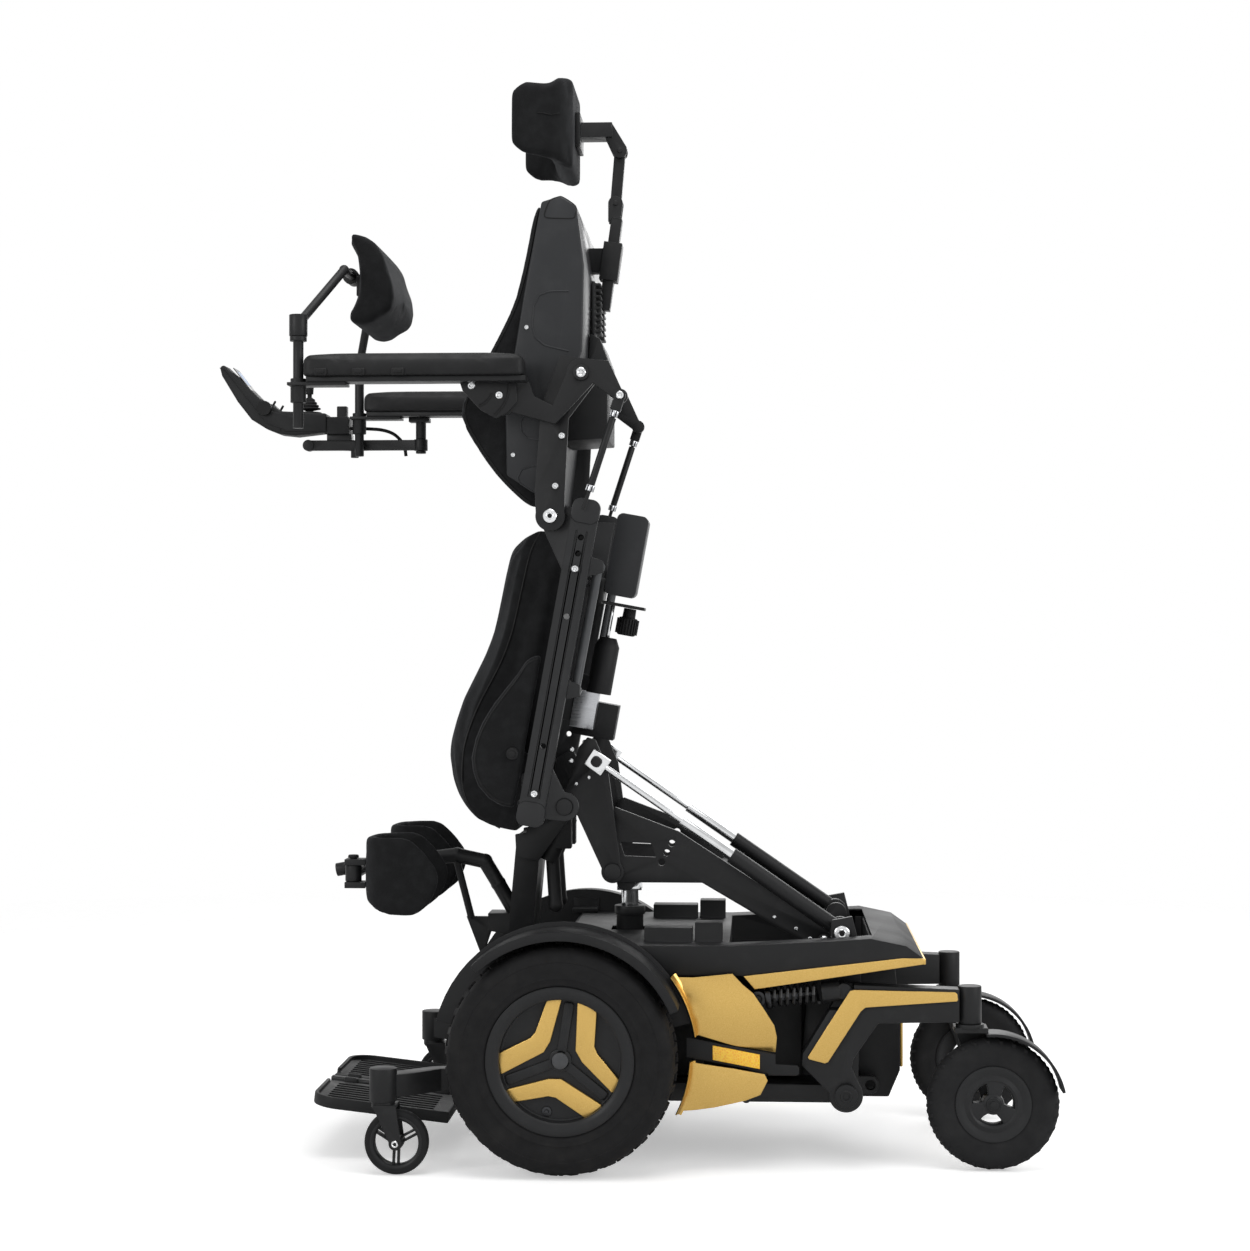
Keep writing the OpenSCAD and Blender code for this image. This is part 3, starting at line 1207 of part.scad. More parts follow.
// Back shell: rear wall and side walls in one moulding, open to the front
function shell_outline(w) = [
    [hip_x + 14, hip_z + 497 - w], [hip_x + 38 - w, hip_z + 482 - w], [hip_x + 50 - w, hip_z + 390],
    [hip_x + 47 - w, hip_z + 256], [hip_x + 7 - w, hip_z + 148], [hip_x - 6 - w, hip_z + 36],
    [hip_x - 26 - 3 * w, hip_z + 36], [hip_x - 70 - 3 * w, hip_z + 65], [hip_x - 72 - 3 * w, hip_z + 168],
    [hip_x - 44 - 3 * w, hip_z + 340], [hip_x - 16 - 3 * w, hip_z + 488 - w]
];
module back_shell() {
    color("#4b4d50") difference() {
        side_plate(-back_w / 2, back_w / 2) polygon(shell_outline(0));
        side_plate(-back_w / 2 + shell_t, back_w / 2 - shell_t) polygon(shell_outline(shell_t));
        block([hip_x - 200, -back_w / 2 + shell_t, hip_z], [board_x + board_t + 2, back_w / 2 - shell_t, hip_z + 600]);
        block([hip_x, -22, socket_z + 12], [hip_x + 80, 22, socket_z + 54]);
        both_sides() block([board_x + 0.7, back_w / 2 - shell_t - 1, hip_z + 89.7],
            [board_x + 9.3, back_w / 2 + 1, hip_z + 130.3]);
    }
}

// Back cushion: main pad and a deep wing on each side
back_face_x = board_x - soft_gap;
back_pad_low = hip_z + 36;
back_pad_h = 452;
function back_t(u) = let(
    low = 7 + 27 * smooth(clamp01((u - 42) / 60)),
    thin = 14 * smooth(clamp01((u - 190) / 180)),
    tail = 8 * smooth(clamp01((u - back_pad_h + 30) / 30))
) low - thin - tail;
back_us = [for (i = [0 : 24]) back_pad_h * i / 24];
function back_half_w(u) = back_pad_w / 2 - 4 * pow(abs(2 * u / back_pad_h - 1), 6);
function back_depth(u, s) = max(4, back_t(u) + 2 - 4 * s * s);
wing_in_y = back_pad_w / 2 + 2;
wing_out_y = back_w / 2 - shell_t - soft_gap;
wing_outline = [
    [-18, 486], [-26, 481], [-33, 460], [-40.5, 419], [-48.5, 381], [-58, 343], [-69, 315], [-85, 283], [-100, 255],
    [-135, 195], [-144, 176], [-145, 157], [-138, 138], [-126, 119], [-110, 94], [-91, 68], [-72, 47], [-54, 30],
    [-42, 20], [-30, 14], [-18, 16], [-18, 250]
];
module back_cushion() {
    color("#1e1f20") {
        translate([0, 0, back_pad_low])
            soft_block(back_us, function (u, s) back_depth(u, s), function (u) back_half_w(u), back_face_x);
        both_sides() translate([hip_x, 0, hip_z]) soft_roll(wing_outline, wing_in_y, wing_out_y, 8);
    }
}

// Rear cover: the hump behind the shell and the ribbed grille above it
cover_y = 96;
module rear_cover() {
    color("#232426") side_plate(-cover_y, cover_y) polygon([
        [hip_x + 50 + tiny, hip_z + 300], [hip_x + 47 + tiny, hip_z + 256.5], [hip_x + 7.4, hip_z + 148],
        [hip_x + 5.5, hip_z + 128], [hip_x + 78, hip_z + 132], [hip_x + 78, hip_z + 260],
        [hip_x + 66, hip_z + 292]
    ]);
    color("#8f9294") union() {
        block([hip_x + 50 + tiny, -70, hip_z + 301], [hip_x + 56, 70, hip_z + 388]);
        for (i = [0 : 8]) both_sides() block([hip_x + 55, bar_t / 2 + 3, hip_z + 304 + i * 9.5],
            [hip_x + 66, 66, hip_z + 309 + i * 9.5]);
    }
}

// Headrest: sliding bar with a fork, arm plate, and the pad on its bracket
lower_x = socket_x + 12;
lower_z = socket_z + 126;
upper_x = lower_x + 7;
upper_z = lower_z + 86;
head_pin_d = 8;
module headrest_bar() {
    color("#2c2d2f") union() {
        on_headrest_frame() translate([-bar_w / 2, -bar_t / 2, -48]) cube([bar_w, bar_t, 150]);
        both_sides() side_plate(8, bar_t / 2 - 0.5) {
            translate([lower_x, lower_z]) circle(d = 24);
            polygon([[lower_x - 12, lower_z], [lower_x + 12, lower_z], [lower_x + 8, lower_z - 30],
                [lower_x - 12, lower_z - 30]]);
        }
        y_bar(lower_x, lower_z, -bar_t / 2 - 3, bar_t / 2 + 3, head_pin_d);
    }
}
module headrest_arm() {
    color("#1f2021") side_plate(-7.6, 7.6) difference() {
        union() {
            polygon([[lower_x - 9, lower_z], [lower_x + 9, lower_z], [upper_x + 9, upper_z], [upper_x - 9, upper_z]]);
            translate([lower_x, lower_z]) circle(d = 20);
            translate([upper_x, upper_z]) circle(d = 20);
        }
        translate([lower_x, lower_z]) circle(d = bore_of(head_pin_d));
        translate([upper_x, upper_z]) circle(d = bore_of(head_pin_d));
    }
}
head_back_x = upper_x - 71;
head_low = upper_z - 46;
head_pad_h = 160;
module headrest_bracket() {
    both_sides() side_plate(8, 14) {
        translate([upper_x, upper_z]) circle(d = 24);
        polygon([[upper_x - 12, upper_z - 4], [upper_x + 11, upper_z + 6], [upper_x - 12, upper_z + 44],
            [upper_x - 24, upper_z + 44], [upper_x - 24, upper_z + 22]]);
    }
    y_bar(upper_x, upper_z, -17, 17, head_pin_d);
    block([upper_x - 63, -22, upper_z + 21], [upper_x - 12, 22, upper_z + 45]);
    block([head_back_x + tiny, -40, upper_z + 2], [head_back_x + 8, 40, upper_z + 58]);
}
module headrest_knob(x, y, z) {
    translate([head_back_x + x, y, head_low + z]) sphere(r = 13, $fn = 12);
}
module headrest_pad() {
    wing_y = headrest_w / 2 - 14;
    color("#3f4143") headrest_bracket();
    color("#222324") {
        hull() for (s = [-1, 1]) {
            for (z = [14, 142]) headrest_knob(-12.6, s * (wing_y - 34), z);
            for (z = [20, 136]) headrest_knob(-24, s * (wing_y - 6), z);
        }
        both_sides() hull() {
            for (z = [22, 132]) headrest_knob(-24, wing_y - 18, z);
            for (z = [44, 116]) headrest_knob(-88, wing_y, z);
            for (z = [32, 128]) headrest_knob(-74, wing_y, z);
        }
    }
}

// Armrests: link plate, quadrant, pad rail and chest support post
arm_pad_back_x = arm_pivot_x - 84;
arm_pad_front_x = arm_pad_back_x - arm_pad_l;
arm_pad_z = arm_pivot_z - 7;
lever_x = arm_pivot_x + 60;
lever_z = arm_pivot_z - 36;
rod_foot_x = arm_pivot_x + 9;
rod_foot_z = arm_pivot_z - 193;
rod_dx = lever_x - rod_foot_x;
rod_dz = lever_z - rod_foot_z;
rod_l = sqrt(rod_dx * rod_dx + rod_dz * rod_dz);
rod_lean = atan2(rod_dx, rod_dz);
lever_pin_d = 8;
post_x = arm_pad_front_x - post_d / 2 - 1.5;
post_low = arm_pivot_z - 84;
post_top = arm_pivot_z + 76;
module armrest_outline() {
    polygon([
        [arm_pad_back_x + 4, arm_pad_z - 7], [arm_pad_back_x - 84, arm_pad_z - 7],
        [arm_pad_back_x - 80, arm_pad_z - 20], [arm_pad_back_x - 38, arm_pivot_z - 66],
        [arm_pad_back_x - 22, arm_pivot_z - 60], [arm_pad_back_x + 44, arm_pivot_z - 78],
        [arm_pivot_x + 18, arm_pivot_z - 16], [lever_x - 2, lever_z - 10], [lever_x + 2, lever_z + 10],
        [arm_pivot_x + 42, arm_pivot_z + 18], [arm_pivot_x, arm_pivot_z + 22],
        [arm_pivot_x - 22, arm_pivot_z], [arm_pad_back_x + 40, arm_pivot_z - 50],
        [arm_pad_back_x + 12, arm_pivot_z - 36]
    ]);
    translate([arm_pivot_x, arm_pivot_z]) circle(d = 44);
    translate([lever_x, lever_z]) circle(d = 22);
}
module armrest(side) {
    on_side(side) {
        color("#1d1e1f") union() {
            difference() {
                side_plate(arm_plate_y, arm_plate_y + arm_plate_t) armrest_outline();
                y_bar(arm_pivot_x, arm_pivot_z, 0, 400, bore_of(arm_pin_d));
            }
            block([arm_pad_front_x + 6, arm_y - 22, arm_pad_z - 8], [arm_pad_back_x + 2, arm_y + 22, arm_pad_z]);
            y_bar(lever_x, lever_z, arm_plate_y + arm_plate_t - 1, rod_y + 7, lever_pin_d);
            for (p = [[arm_pad_back_x - 54, arm_pivot_z - 34], [arm_pad_back_x - 24, arm_pivot_z - 40]])
                y_bar(p[0], p[1], arm_plate_y + arm_plate_t - 1, arm_plate_y + arm_plate_t + 3, 13);
        }
        color("#232425") difference() {
            union() {
                z_bar(post_x, arm_y, post_low, arm_pad_z + 1, post_d);
                z_bar(post_x, arm_y, arm_pad_z - 38, arm_pad_z - 1, post_d + 8);
                block([post_x - 14, arm_y - 20, arm_pad_z - 13], [post_x + 76, arm_y + 20, arm_pad_z - 8 - seam]);
                if (side == LEFT) {
                    z_bar(post_x, arm_y, arm_pad_z, post_top - 0.5, post_d);
                    z_bar(post_x, arm_y, post_top - 27, post_top - 19 - tiny, post_d + 10);
                }
                else {
                    z_bar(post_x, arm_y, arm_pad_z, post_top - 6, post_d);
                    x_bar(post_x - 9, post_x + 11, arm_y, post_top, 22);
                    space_bar([post_x, arm_y, post_top], [post_x + 36, chest_pad_w / 2 + 28, post_top + 66],
                        chest_tube_d);
                }
            }
            if (side == RIGHT) block([swing_stick_x - 30, arm_y + 20.5, 0], [swing_stick_x + 30, arm_y + 60, 3000]);
        }
    }
    if (side == RIGHT) color("#2a2b2c") {
        block([swing_stick_x - 20, arm_y + 6, arm_pad_z - 16], [swing_stick_x + 16, stick_y + 13, arm_pad_z - 8 - seam]);
        z_bar(swing_stick_x, stick_y, stick_bar_z - 12, arm_pad_z - 15, 10);
        z_bar(swing_stick_x, stick_y, stick_bar_z + 10.5, arm_pad_z - 15, 18);
        z_bar(swing_stick_x, stick_y, stick_bar_z - 15, stick_bar_z - 10.5, 18);
    }
}
module armrest_pad(side) {
    on_side(side) color("#1b1c1d") hull() {
        for (x = [arm_pad_front_x + 14, arm_pad_back_x - 14]) for (y = [arm_y - arm_pad_w / 2 + 14, arm_y + arm_pad_w / 2 - 14]) {
            z_bar(x, y, arm_pad_z + tiny, arm_pad_z + arm_pad_t - 8, 28, $fn = 32);
            z_bar(x, y, arm_pad_z + tiny, arm_pad_z + arm_pad_t, 14, $fn = 32);
        }
    }
}
rod_y = arm_plate_y + arm_plate_t + 8;
module armrest_rod(side) {
    on_side(side) color("#262729") translate([rod_foot_x, rod_y, rod_foot_z]) rotate([0, rod_lean, 0]) difference() {
        union() {
            translate([0, 0, -18]) cylinder(h = rod_l - 6, d = 6);
            translate([0, 0, 22]) cylinder(h = rod_l - 58, d = 11);
            for (z = [12, rod_l - 34]) translate([0, 0, z]) cylinder(h = 9, d = 14, $fn = 6);
            translate([-8, -6, rod_l - 24]) cube([16, 12, 24]);
            translate([0, 0, rod_l]) rotate([90, 0, 0]) translate([0, 0, -6]) cylinder(h = 12, d = 18);
        }
        translate([0, 0, rod_l]) rotate([90, 0, 0]) translate([0, 0, -20]) cylinder(h = 40, d = bore_of(lever_pin_d));
    }
}

// Joystick: swing bar, housing with display, boot and stick, and its held lead
swing_stick_x = arm_pad_front_x + 97;
stick_y = arm_y + 20;
stick_bar_z = arm_pad_z - 56;
stick_bar_l = 200;
stick_x = swing_stick_x - 199;
stick_z = stick_bar_z + 57;
console_w = 52;
module joystick_arm() {
    color("#17181a") difference() {
        union() {
            block([swing_stick_x - stick_bar_l, stick_y - 7, stick_bar_z - 9], [swing_stick_x, stick_y + 7, stick_bar_z + 9]);
            z_bar(swing_stick_x, stick_y, stick_bar_z - 10, stick_bar_z + 10, 24);
            y_bar(swing_stick_x - stick_bar_l, stick_bar_z, stick_y - 9, stick_y + 9, 20);
            z_bar(swing_stick_x - 118, stick_y, stick_bar_z - 22, stick_bar_z - 8, 14);
            block([swing_stick_x - 166, stick_y - 12, stick_bar_z + 8], [swing_stick_x - 122, stick_y + 12, stick_bar_z + 19]);
        }
        z_bar(swing_stick_x, stick_y, stick_bar_z - 20, stick_bar_z + 20, bore_of(10));
    }
}
console_back = 74;
stick_ball_d = 11;
stick_pin_d = 5;
stick_pin_l = 22;
module joystick_housing() {
    low = stick_bar_z + 19 + seam;
    color("#202123") difference() {
        union() {
            block([stick_x - 40, stick_y - console_w / 2, low + 4], [stick_x + 34, stick_y + console_w / 2, low + 34]);
            block([stick_x + 30, stick_y - console_w / 2 + 4, low], [stick_x + console_back, stick_y + console_w / 2 - 4, low + 30]);
            side_plate(stick_y - console_w / 2, stick_y + console_w / 2) polygon([
                [stick_x - 30, low + 4], [stick_x - 72, low + 18], [stick_x - 146, low + 112], [stick_x - 157, low + 117],
                [stick_x - 150, low + 120], [stick_x - 122, low + 100], [stick_x - 62, low + 40], [stick_x - 36, low + 34]
            ]);
            block([stick_x + 50, stick_y - 8, low + 28], [stick_x + 68, stick_y + 8, low + 50]);
            for (p = [[-68, 43], [-54, 35]]) translate([stick_x + p[0], stick_y - 12, low + p[1]])
                rotate([0, 30, 0]) cylinder(h = 19, d = 4);
            z_bar(stick_x, stick_y, low + 33, low + 40, 44);
        }
        translate([stick_x, stick_y, low + 40 + seam]) sphere(d = bore_of(stick_ball_d), $fn = 32);
        y_bar(stick_x, low + 40 + seam, stick_y - stick_pin_l / 2 - 1, stick_y + stick_pin_l / 2 + 1, bore_of(stick_pin_d));
    }
    color("#111213") for (y = [-1, 1])
        y_bar(stick_x - 75, low + 45, y > 0 ? stick_y + console_w / 2 + seam : stick_y - console_w / 2 - 8 - seam,
            y > 0 ? stick_y + console_w / 2 + 8 : stick_y - console_w / 2 - seam, 26);
}
boot_ribs = 4;
module joystick_stick() {
    base = stick_bar_z + 59 + 2 * seam;
    color("#161718") translate([stick_x, stick_y, base]) {
        rotate_extrude($fn = 32) polygon(concat([[0, 1.2], [6, 2], [10.5, 3.4]], [for (i = [0 : boot_ribs - 1]) each [
            [20 - 3.4 * i, 5.4 + 5.1 * i], [20 - 3.4 * i, 7.4 + 5.1 * i], [15 - 2.6 * i, 8.8 + 5.1 * i]
        ]], [[5, 26], [0, 26]]));
        sphere(d = stick_ball_d, $fn = 32);
        y_bar(0, 0, -stick_pin_l / 2, stick_pin_l / 2, stick_pin_d);
        cylinder(h = 42, d = 8);
        translate([0, 0, 32]) cylinder(h = 22, d1 = 13, d2 = 16);
        translate([0, 0, 54]) cylinder(h = 3, d1 = 16, d2 = 11);
    }
}
lead_d = 6;
lead_route = [
    [stick_x + console_back + seam, stick_y, stick_bar_z + 30], [stick_x + 90, stick_y, stick_bar_z + 30],
    [stick_x + 110, stick_y, stick_bar_z + 29], [stick_x + 125, stick_y + 2, stick_bar_z + 28],
    [stick_x + 139, stick_y + 5, stick_bar_z + 25], [stick_x + 150, stick_y + 9, stick_bar_z + 20],
    [stick_x + 158, stick_y + 13, stick_bar_z + 13], [stick_x + 164, stick_y + 15, stick_bar_z + 5],
    [stick_x + 168, stick_y + 16, stick_bar_z - 5], [stick_x + 170, stick_y + 16, stick_bar_z - 18]
];
module joystick_lead() {
    color("#121314") tube_along(lead_route, lead_d / 2, 8);
}

// Chest support: swinging bent arm with its knuckle, and the pad on a ball cup
cup_x = arm_pad_front_x + 27;
cup_z = post_top + 112;
module chest_arm() {
    color("#1c1d1e") difference() {
        union() {
            z_bar(post_x, -arm_y, post_top - 19, post_top + 14, post_d + 12);
            space_bar([post_x, -arm_y, post_top], [post_x + 46, -arm_y / 2, cup_z - 8], chest_tube_d);
            space_bar([post_x + 46, -arm_y / 2, cup_z - 8], [cup_x + 2, -24, cup_z], chest_tube_d);
            translate([post_x + 46, -arm_y / 2, cup_z - 8]) sphere(d = chest_tube_d + 2, $fn = 32);
            y_bar(cup_x, cup_z, -26, -15, 26);
            y_bar(cup_x, cup_z, -26, 15, 10);
        }
        z_bar(post_x, -arm_y, post_top - 30, post_top, bore_of(post_d));
    }
}
chest_outline = [
    [8, 54], [9, 42], [22, 18], [24, -9], [24, -39], [17, -58], [8, -72], [6, -85], [15, -95], [33, -98], [49, -94],
    [62, -83], [74, -79], [84, -68], [88, -48], [86, -25], [78, -3], [70, 24], [56, 44], [40, 55], [27, 59], [14, 61]
];
module chest_pad() {
    color("#2b2c2e") difference() {
        union() {
            y_bar(cup_x, cup_z, -14.5, 14.5, 24);
            block([cup_x, -10, cup_z - 9], [cup_x + 21, 10, cup_z + 4]);
            block([cup_x + 14, -50, cup_z - 36], [cup_x + 24 - soft_gap, 50, cup_z - 4]);
        }
        y_bar(cup_x, cup_z, -40, 40, bore_of(10));
    }
    color("#1d1e20") translate([cup_x, 0, cup_z])
        soft_roll(chest_outline, -chest_pad_w / 2, chest_pad_w / 2, 13);
}

// Legrest: knee lugs, leaning post, knee support tubes, footplate bar and stabiliser arms
post_top_x = knee_x - 71;
post_top_z = knee_z - 58;
post_low_x = knee_x - 88;
post_low_z = knee_z - 212;
shin_x = knee_x - 112;
shin_z = 120;
lug_y = 62;
lug_t = 12;
foot_back_x = axle_x - 184;
foot_z = 64;
foot_pin_y = 16;
foot_pin_d = 8;
knee_bar_x = knee_x - 346;
knee_bar_z = knee_z - 114;
knee_pad_y = 126;
knee_pin_d = 12;
arm_beam_x = shin_x - 10;
front_arm_z0 = front_housing_z0;
module on_foot_frame() {
    translate([foot_back_x, 0, foot_z]) rotate([0, foot_slope, 0]) children();
}
module stabiliser_side() {
    translate([0, 0, front_arm_z0 + 6]) linear_extrude(34) polygon([
        [arm_beam_x - 14, 200], [arm_beam_x - 14, 232], [axle_x - 190, 234],
        [front_swivel_x + 34, front_swivel_y - 2], [front_swivel_x + 4, front_swivel_y + 12],
        [front_swivel_x - 6, front_swivel_y - 14], [axle_x - 206, 212], [axle_x - 180, 204]
    ]);
    z_bar(front_swivel_x, front_swivel_y, front_housing_z0, front_housing_z1, front_housing_d);
}
module leg_frame() {
    color("#28292b") difference() {
        union() {
            both_sides() {
                side_plate(lug_y, lug_y + lug_t) {
                    polygon([
                        [knee_x, knee_z + 22], [knee_x, knee_z - 22], [post_top_x + 16, post_top_z - 40],
                        [post_top_x - 20, post_top_z - 34], [post_top_x - 22, post_top_z + 2],
                        [post_top_x - 4, post_top_z + 5], [post_top_x + 10, post_top_z + 44]
                    ]);
                    translate([knee_x, knee_z]) circle(d = 44);
                }
                stabiliser_side();
            }
            side_plate(-lug_y - 1, lug_y + 1) polygon([
                [post_top_x - leg_post_w / 2, post_top_z], [post_top_x + leg_post_w / 2, post_top_z + 8],
                [post_low_x + leg_post_w / 2 + 2, post_low_z], [post_low_x - leg_post_w / 2 + 2, post_low_z - 8]
            ]);
            slant_bar([post_low_x, post_low_z + 20], [shin_x, shin_z], 0, 38);
            block([shin_x - 19, -24, shin_z - 6], [shin_x + 19, 24, shin_z + 30]);
            block([arm_beam_x - 15, -218, front_arm_z0 + 6], [arm_beam_x + 13, 218, front_arm_z0 + 40]);
            side_plate(-11, 11) polygon([
                [shin_x + 10, shin_z + 2], [shin_x - 18, shin_z + 10], [foot_back_x - 16, foot_z + 5],
                [foot_back_x + 14, foot_z - 8]
            ]);
            on_foot_frame() translate([-footplate_l, -7.4, -9]) cube([footplate_l + 16, 14.8, 17]);
            slant_bar([post_low_x - 14, post_low_z + 26], [knee_x - 128, knee_z - 142], 0, 24);
            slant_bar([knee_x - 128, knee_z - 142], [knee_x - 150, knee_z - 106], 0, 24);
            slant_bar([knee_x - 150, knee_z - 106], [knee_x - 196, knee_z - 96], 0, 24);
            slant_bar([knee_x - 196, knee_z - 96], [knee_bar_x, knee_bar_z], 0, 24);
            for (p = [[knee_x - 128, knee_z - 142], [knee_x - 150, knee_z - 106], [knee_x - 196, knee_z - 96]])
                translate([p[0], 0, p[1]]) sphere(d = 25.6, $fn = 32);
            y_bar(knee_bar_x, knee_bar_z, -knee_pad_y, knee_pad_y, 22);
            slant_bar([knee_bar_x, knee_bar_z - 2], [knee_bar_x - 44, knee_bar_z - 10], 60, 9);
            slant_bar([knee_bar_x - 40, knee_bar_z - 9.3], [knee_bar_x - 60, knee_bar_z - 13], 60, 22);
            both_sides() z_bar(knee_bar_x, knee_pad_y, knee_bar_z - 24, knee_bar_z + 24, knee_pin_d);
            both_sides() z_bar(knee_bar_x, knee_pad_y, knee_bar_z - 13, knee_bar_z + 13, 26);
            side_plate(-28, 28) polygon([
                [post_low_x - 54, post_low_z - 4], [post_low_x - 54, post_low_z + 24],
                [post_low_x - 10, post_low_z + 24], [post_low_x - 10, post_low_z - 14]
            ]);
            side_plate(-5, 5) polygon([
                [post_low_x - 92, post_low_z + 16], [post_low_x - 50, post_low_z + 16], [post_low_x - 50, post_low_z - 4],
                [post_low_x - 66, post_low_z - 52]
            ]);
            slant_bar([post_low_x - 110, knee_z - 100], [post_low_x - 84, post_low_z + 12], 0, 12);
            for (s = [-1, 1]) on_foot_frame() {
                for (x = [-footplate_l + 8, -footplate_l / 2, -22])
                    translate([x, s > 0 ? 6 : -foot_pin_y - 6, -3]) cube([14, foot_pin_y, 8]);
                translate([-footplate_l + 2, s * foot_pin_y, 4]) rotate([0, 90, 0])
                    cylinder(h = footplate_l + 8, d = foot_pin_d);
            }
        }
        y_bar(knee_x, knee_z, -300, 300, bore_of(knee_shaft_d));
        both_sides() z_bar(front_swivel_x, front_swivel_y, 0, front_housing_z1 - 6, bore_of(front_stem_d));
    }
}
module leg_actuator() {
    color("#3c3d3f") both_sides() {
        slant_bar([knee_x - 16, knee_z - 36], [knee_x - 42, knee_z - 100], 44, 30);
        slant_bar([knee_x - 36, knee_z - 84], [knee_x - 30, knee_z - 172], 44, 22);
        translate([knee_x - 30, 44, knee_z - 172]) sphere(d = 24, $fn = 32);
        block([knee_x - 46, 30, knee_z - 80], [knee_x - 4, 58, knee_z - 30]);
    }
}

// Knee pads: curved cups on upright pins
cup_r = 62;
cup_wall = 14;
knee_cup_x = knee_bar_x + 20 + cup_r;
knee_outline = [
    [18, 50], [22, 59], [36, 65], [82, 65], [104, 57], [120, 42], [137, 20], [144, 8], [146, -6], [142, -22],
    [132, -43], [118, -56], [104, -63], [82, -66], [46, -58], [26, -46], [17, -34], [15, -20]
];
module knee_pad(side) {
    on_side(side) {
        color("#1f2021") intersection() {
            difference() {
                union() {
                    z_bar(knee_cup_x, knee_pad_y, knee_bar_z - knee_pad_h / 2, knee_bar_z + knee_pad_h / 2, 2 * cup_r);
                    block([knee_cup_x, knee_pad_y - cup_r, knee_bar_z - knee_pad_h / 2],
                        [knee_cup_x + cup_r + 1, knee_pad_y + cup_r, knee_bar_z + knee_pad_h / 2]);
                }
                z_bar(knee_cup_x, knee_pad_y, 0, 800, 2 * (cup_r - cup_wall));
                block([knee_cup_x, knee_pad_y - cup_r + cup_wall, 0],
                    [knee_cup_x + cup_r + 10, knee_pad_y + cup_r - cup_wall, 800]);
            }
            side_plate(0, 300) translate([knee_bar_x, knee_bar_z]) polygon(knee_outline);
        }
        color("#2c2d2f") difference() {
            union() {
                block([knee_bar_x - 12, knee_pad_y - 16, knee_bar_z + 13 + tiny],
                    [knee_cup_x - cup_r + 8, knee_pad_y + 16, knee_bar_z + 23]);
                block([knee_bar_x - 12, knee_pad_y - 16, knee_bar_z - 23],
                    [knee_cup_x - cup_r + 8, knee_pad_y + 16, knee_bar_z - 13 - tiny]);
            }
            z_bar(knee_bar_x, knee_pad_y, 0, 900, bore_of(knee_pin_d));
            z_bar(knee_cup_x, knee_pad_y, 0, 900, 2 * cup_r + 2 * seam);
        }
    }
}

// Footplates: grooved plate with a rounded toe and a raised rim, folding up about the middle bar
toe_r = 44;
foot_rim_t = 6;
foot_rim_h = 18;
module foot_outline(inner, outer) {
    hull() {
        translate([-footplate_l + toe_r, outer - toe_r]) circle(r = toe_r, $fn = 64);
        translate([-footplate_l + 12, inner + 12]) circle(r = 12, $fn = 48);
        translate([-30, inner]) square([30, outer - inner]);
    }
}
module footplate(side) {
    inner = foot_pin_y + 8;
    outer = foot_pin_y + 6 + footplate_w;
    on_side(side) on_foot_frame() {
        color("#2a2b2c") difference() {
            union() {
                translate([0, 0, -footplate_t / 2]) linear_extrude(footplate_t) foot_outline(inner, outer);
                for (x = [-footplate_l + 24, -footplate_l / 2 + 16, -44])
                    translate([x, foot_pin_y, 4]) rotate([0, 90, 0]) cylinder(h = 22, d = 16);
                for (x = [-footplate_l + 24, -footplate_l / 2 + 16, -44])
                    translate([x, foot_pin_y, -4]) cube([22, 12, 8]);
                translate([0, 0, -footplate_t / 2]) linear_extrude(foot_rim_h) difference() {
                    foot_outline(inner, outer);
                    offset(delta = -foot_rim_t) foot_outline(inner, outer);
                    translate([-footplate_l - 1, inner - 1]) square([footplate_l + 2, 24]);
                }
            }
            translate([-footplate_l - 10, foot_pin_y, 4]) rotate([0, 90, 0])
                cylinder(h = footplate_l + 40, d = bore_of(foot_pin_d));
            for (i = [0 : 7]) translate([-footplate_l + 20, inner + 22 + 17 * i, footplate_t / 2 - 1])
                cube([footplate_l - 50, 5, 4]);
        }
    }
}

chassis_frame();
base_cover();
side_panels();
side_reflectors();
batteries();
drive_motors();
wheel_guards();
lift_column();
lift_piston();
drive_tyre(LEFT);  // drive_tyre_left
drive_tyre(RIGHT);  // drive_tyre_right
drive_rim(LEFT);  // drive_rim_left
drive_rim(RIGHT);  // drive_rim_right
swing_arm(LEFT);  // swing_arm_left
swing_arm(RIGHT);  // swing_arm_right
shock_spring(LEFT);  // shock_spring_left
shock_spring(RIGHT);  // shock_spring_right
shock_dampers();
rear_fork(LEFT);  // rear_fork_left
rear_fork(RIGHT);  // rear_fork_right
rear_wheel(LEFT);  // rear_wheel_left
rear_wheel(RIGHT);  // rear_wheel_right
front_fork(LEFT);  // front_fork_left
front_fork(RIGHT);  // front_fork_right
front_wheel(LEFT);  // front_wheel_left
front_wheel(RIGHT);  // front_wheel_right
lift_arms();
tilt_tubes();
tilt_rods();
carrier();
seat_frame();
seat_cushion();
thigh_pads();
seat_motor();
control_module();
back_frame();
back_shell();
back_cushion();
rear_cover();
headrest_bar();
headrest_arm();
headrest_pad();
armrest(LEFT);  // armrest_left
armrest(RIGHT);  // armrest_right
armrest_pad(LEFT);  // armrest_pad_left
armrest_pad(RIGHT);  // armrest_pad_right
armrest_rod(LEFT);  // armrest_rod_left
armrest_rod(RIGHT);  // armrest_rod_right
joystick_arm();
joystick_housing();
joystick_stick();
joystick_lead();
chest_arm();
chest_pad();
leg_frame();
leg_actuator();
knee_pad(LEFT);  // knee_pad_left
knee_pad(RIGHT);  // knee_pad_right
footplate(LEFT);  // footplate_left
footplate(RIGHT);  // footplate_right
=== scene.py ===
import json
import math

import bmesh
import bpy
from mathutils import Matrix, Vector
from mathutils.bvhtree import BVHTree

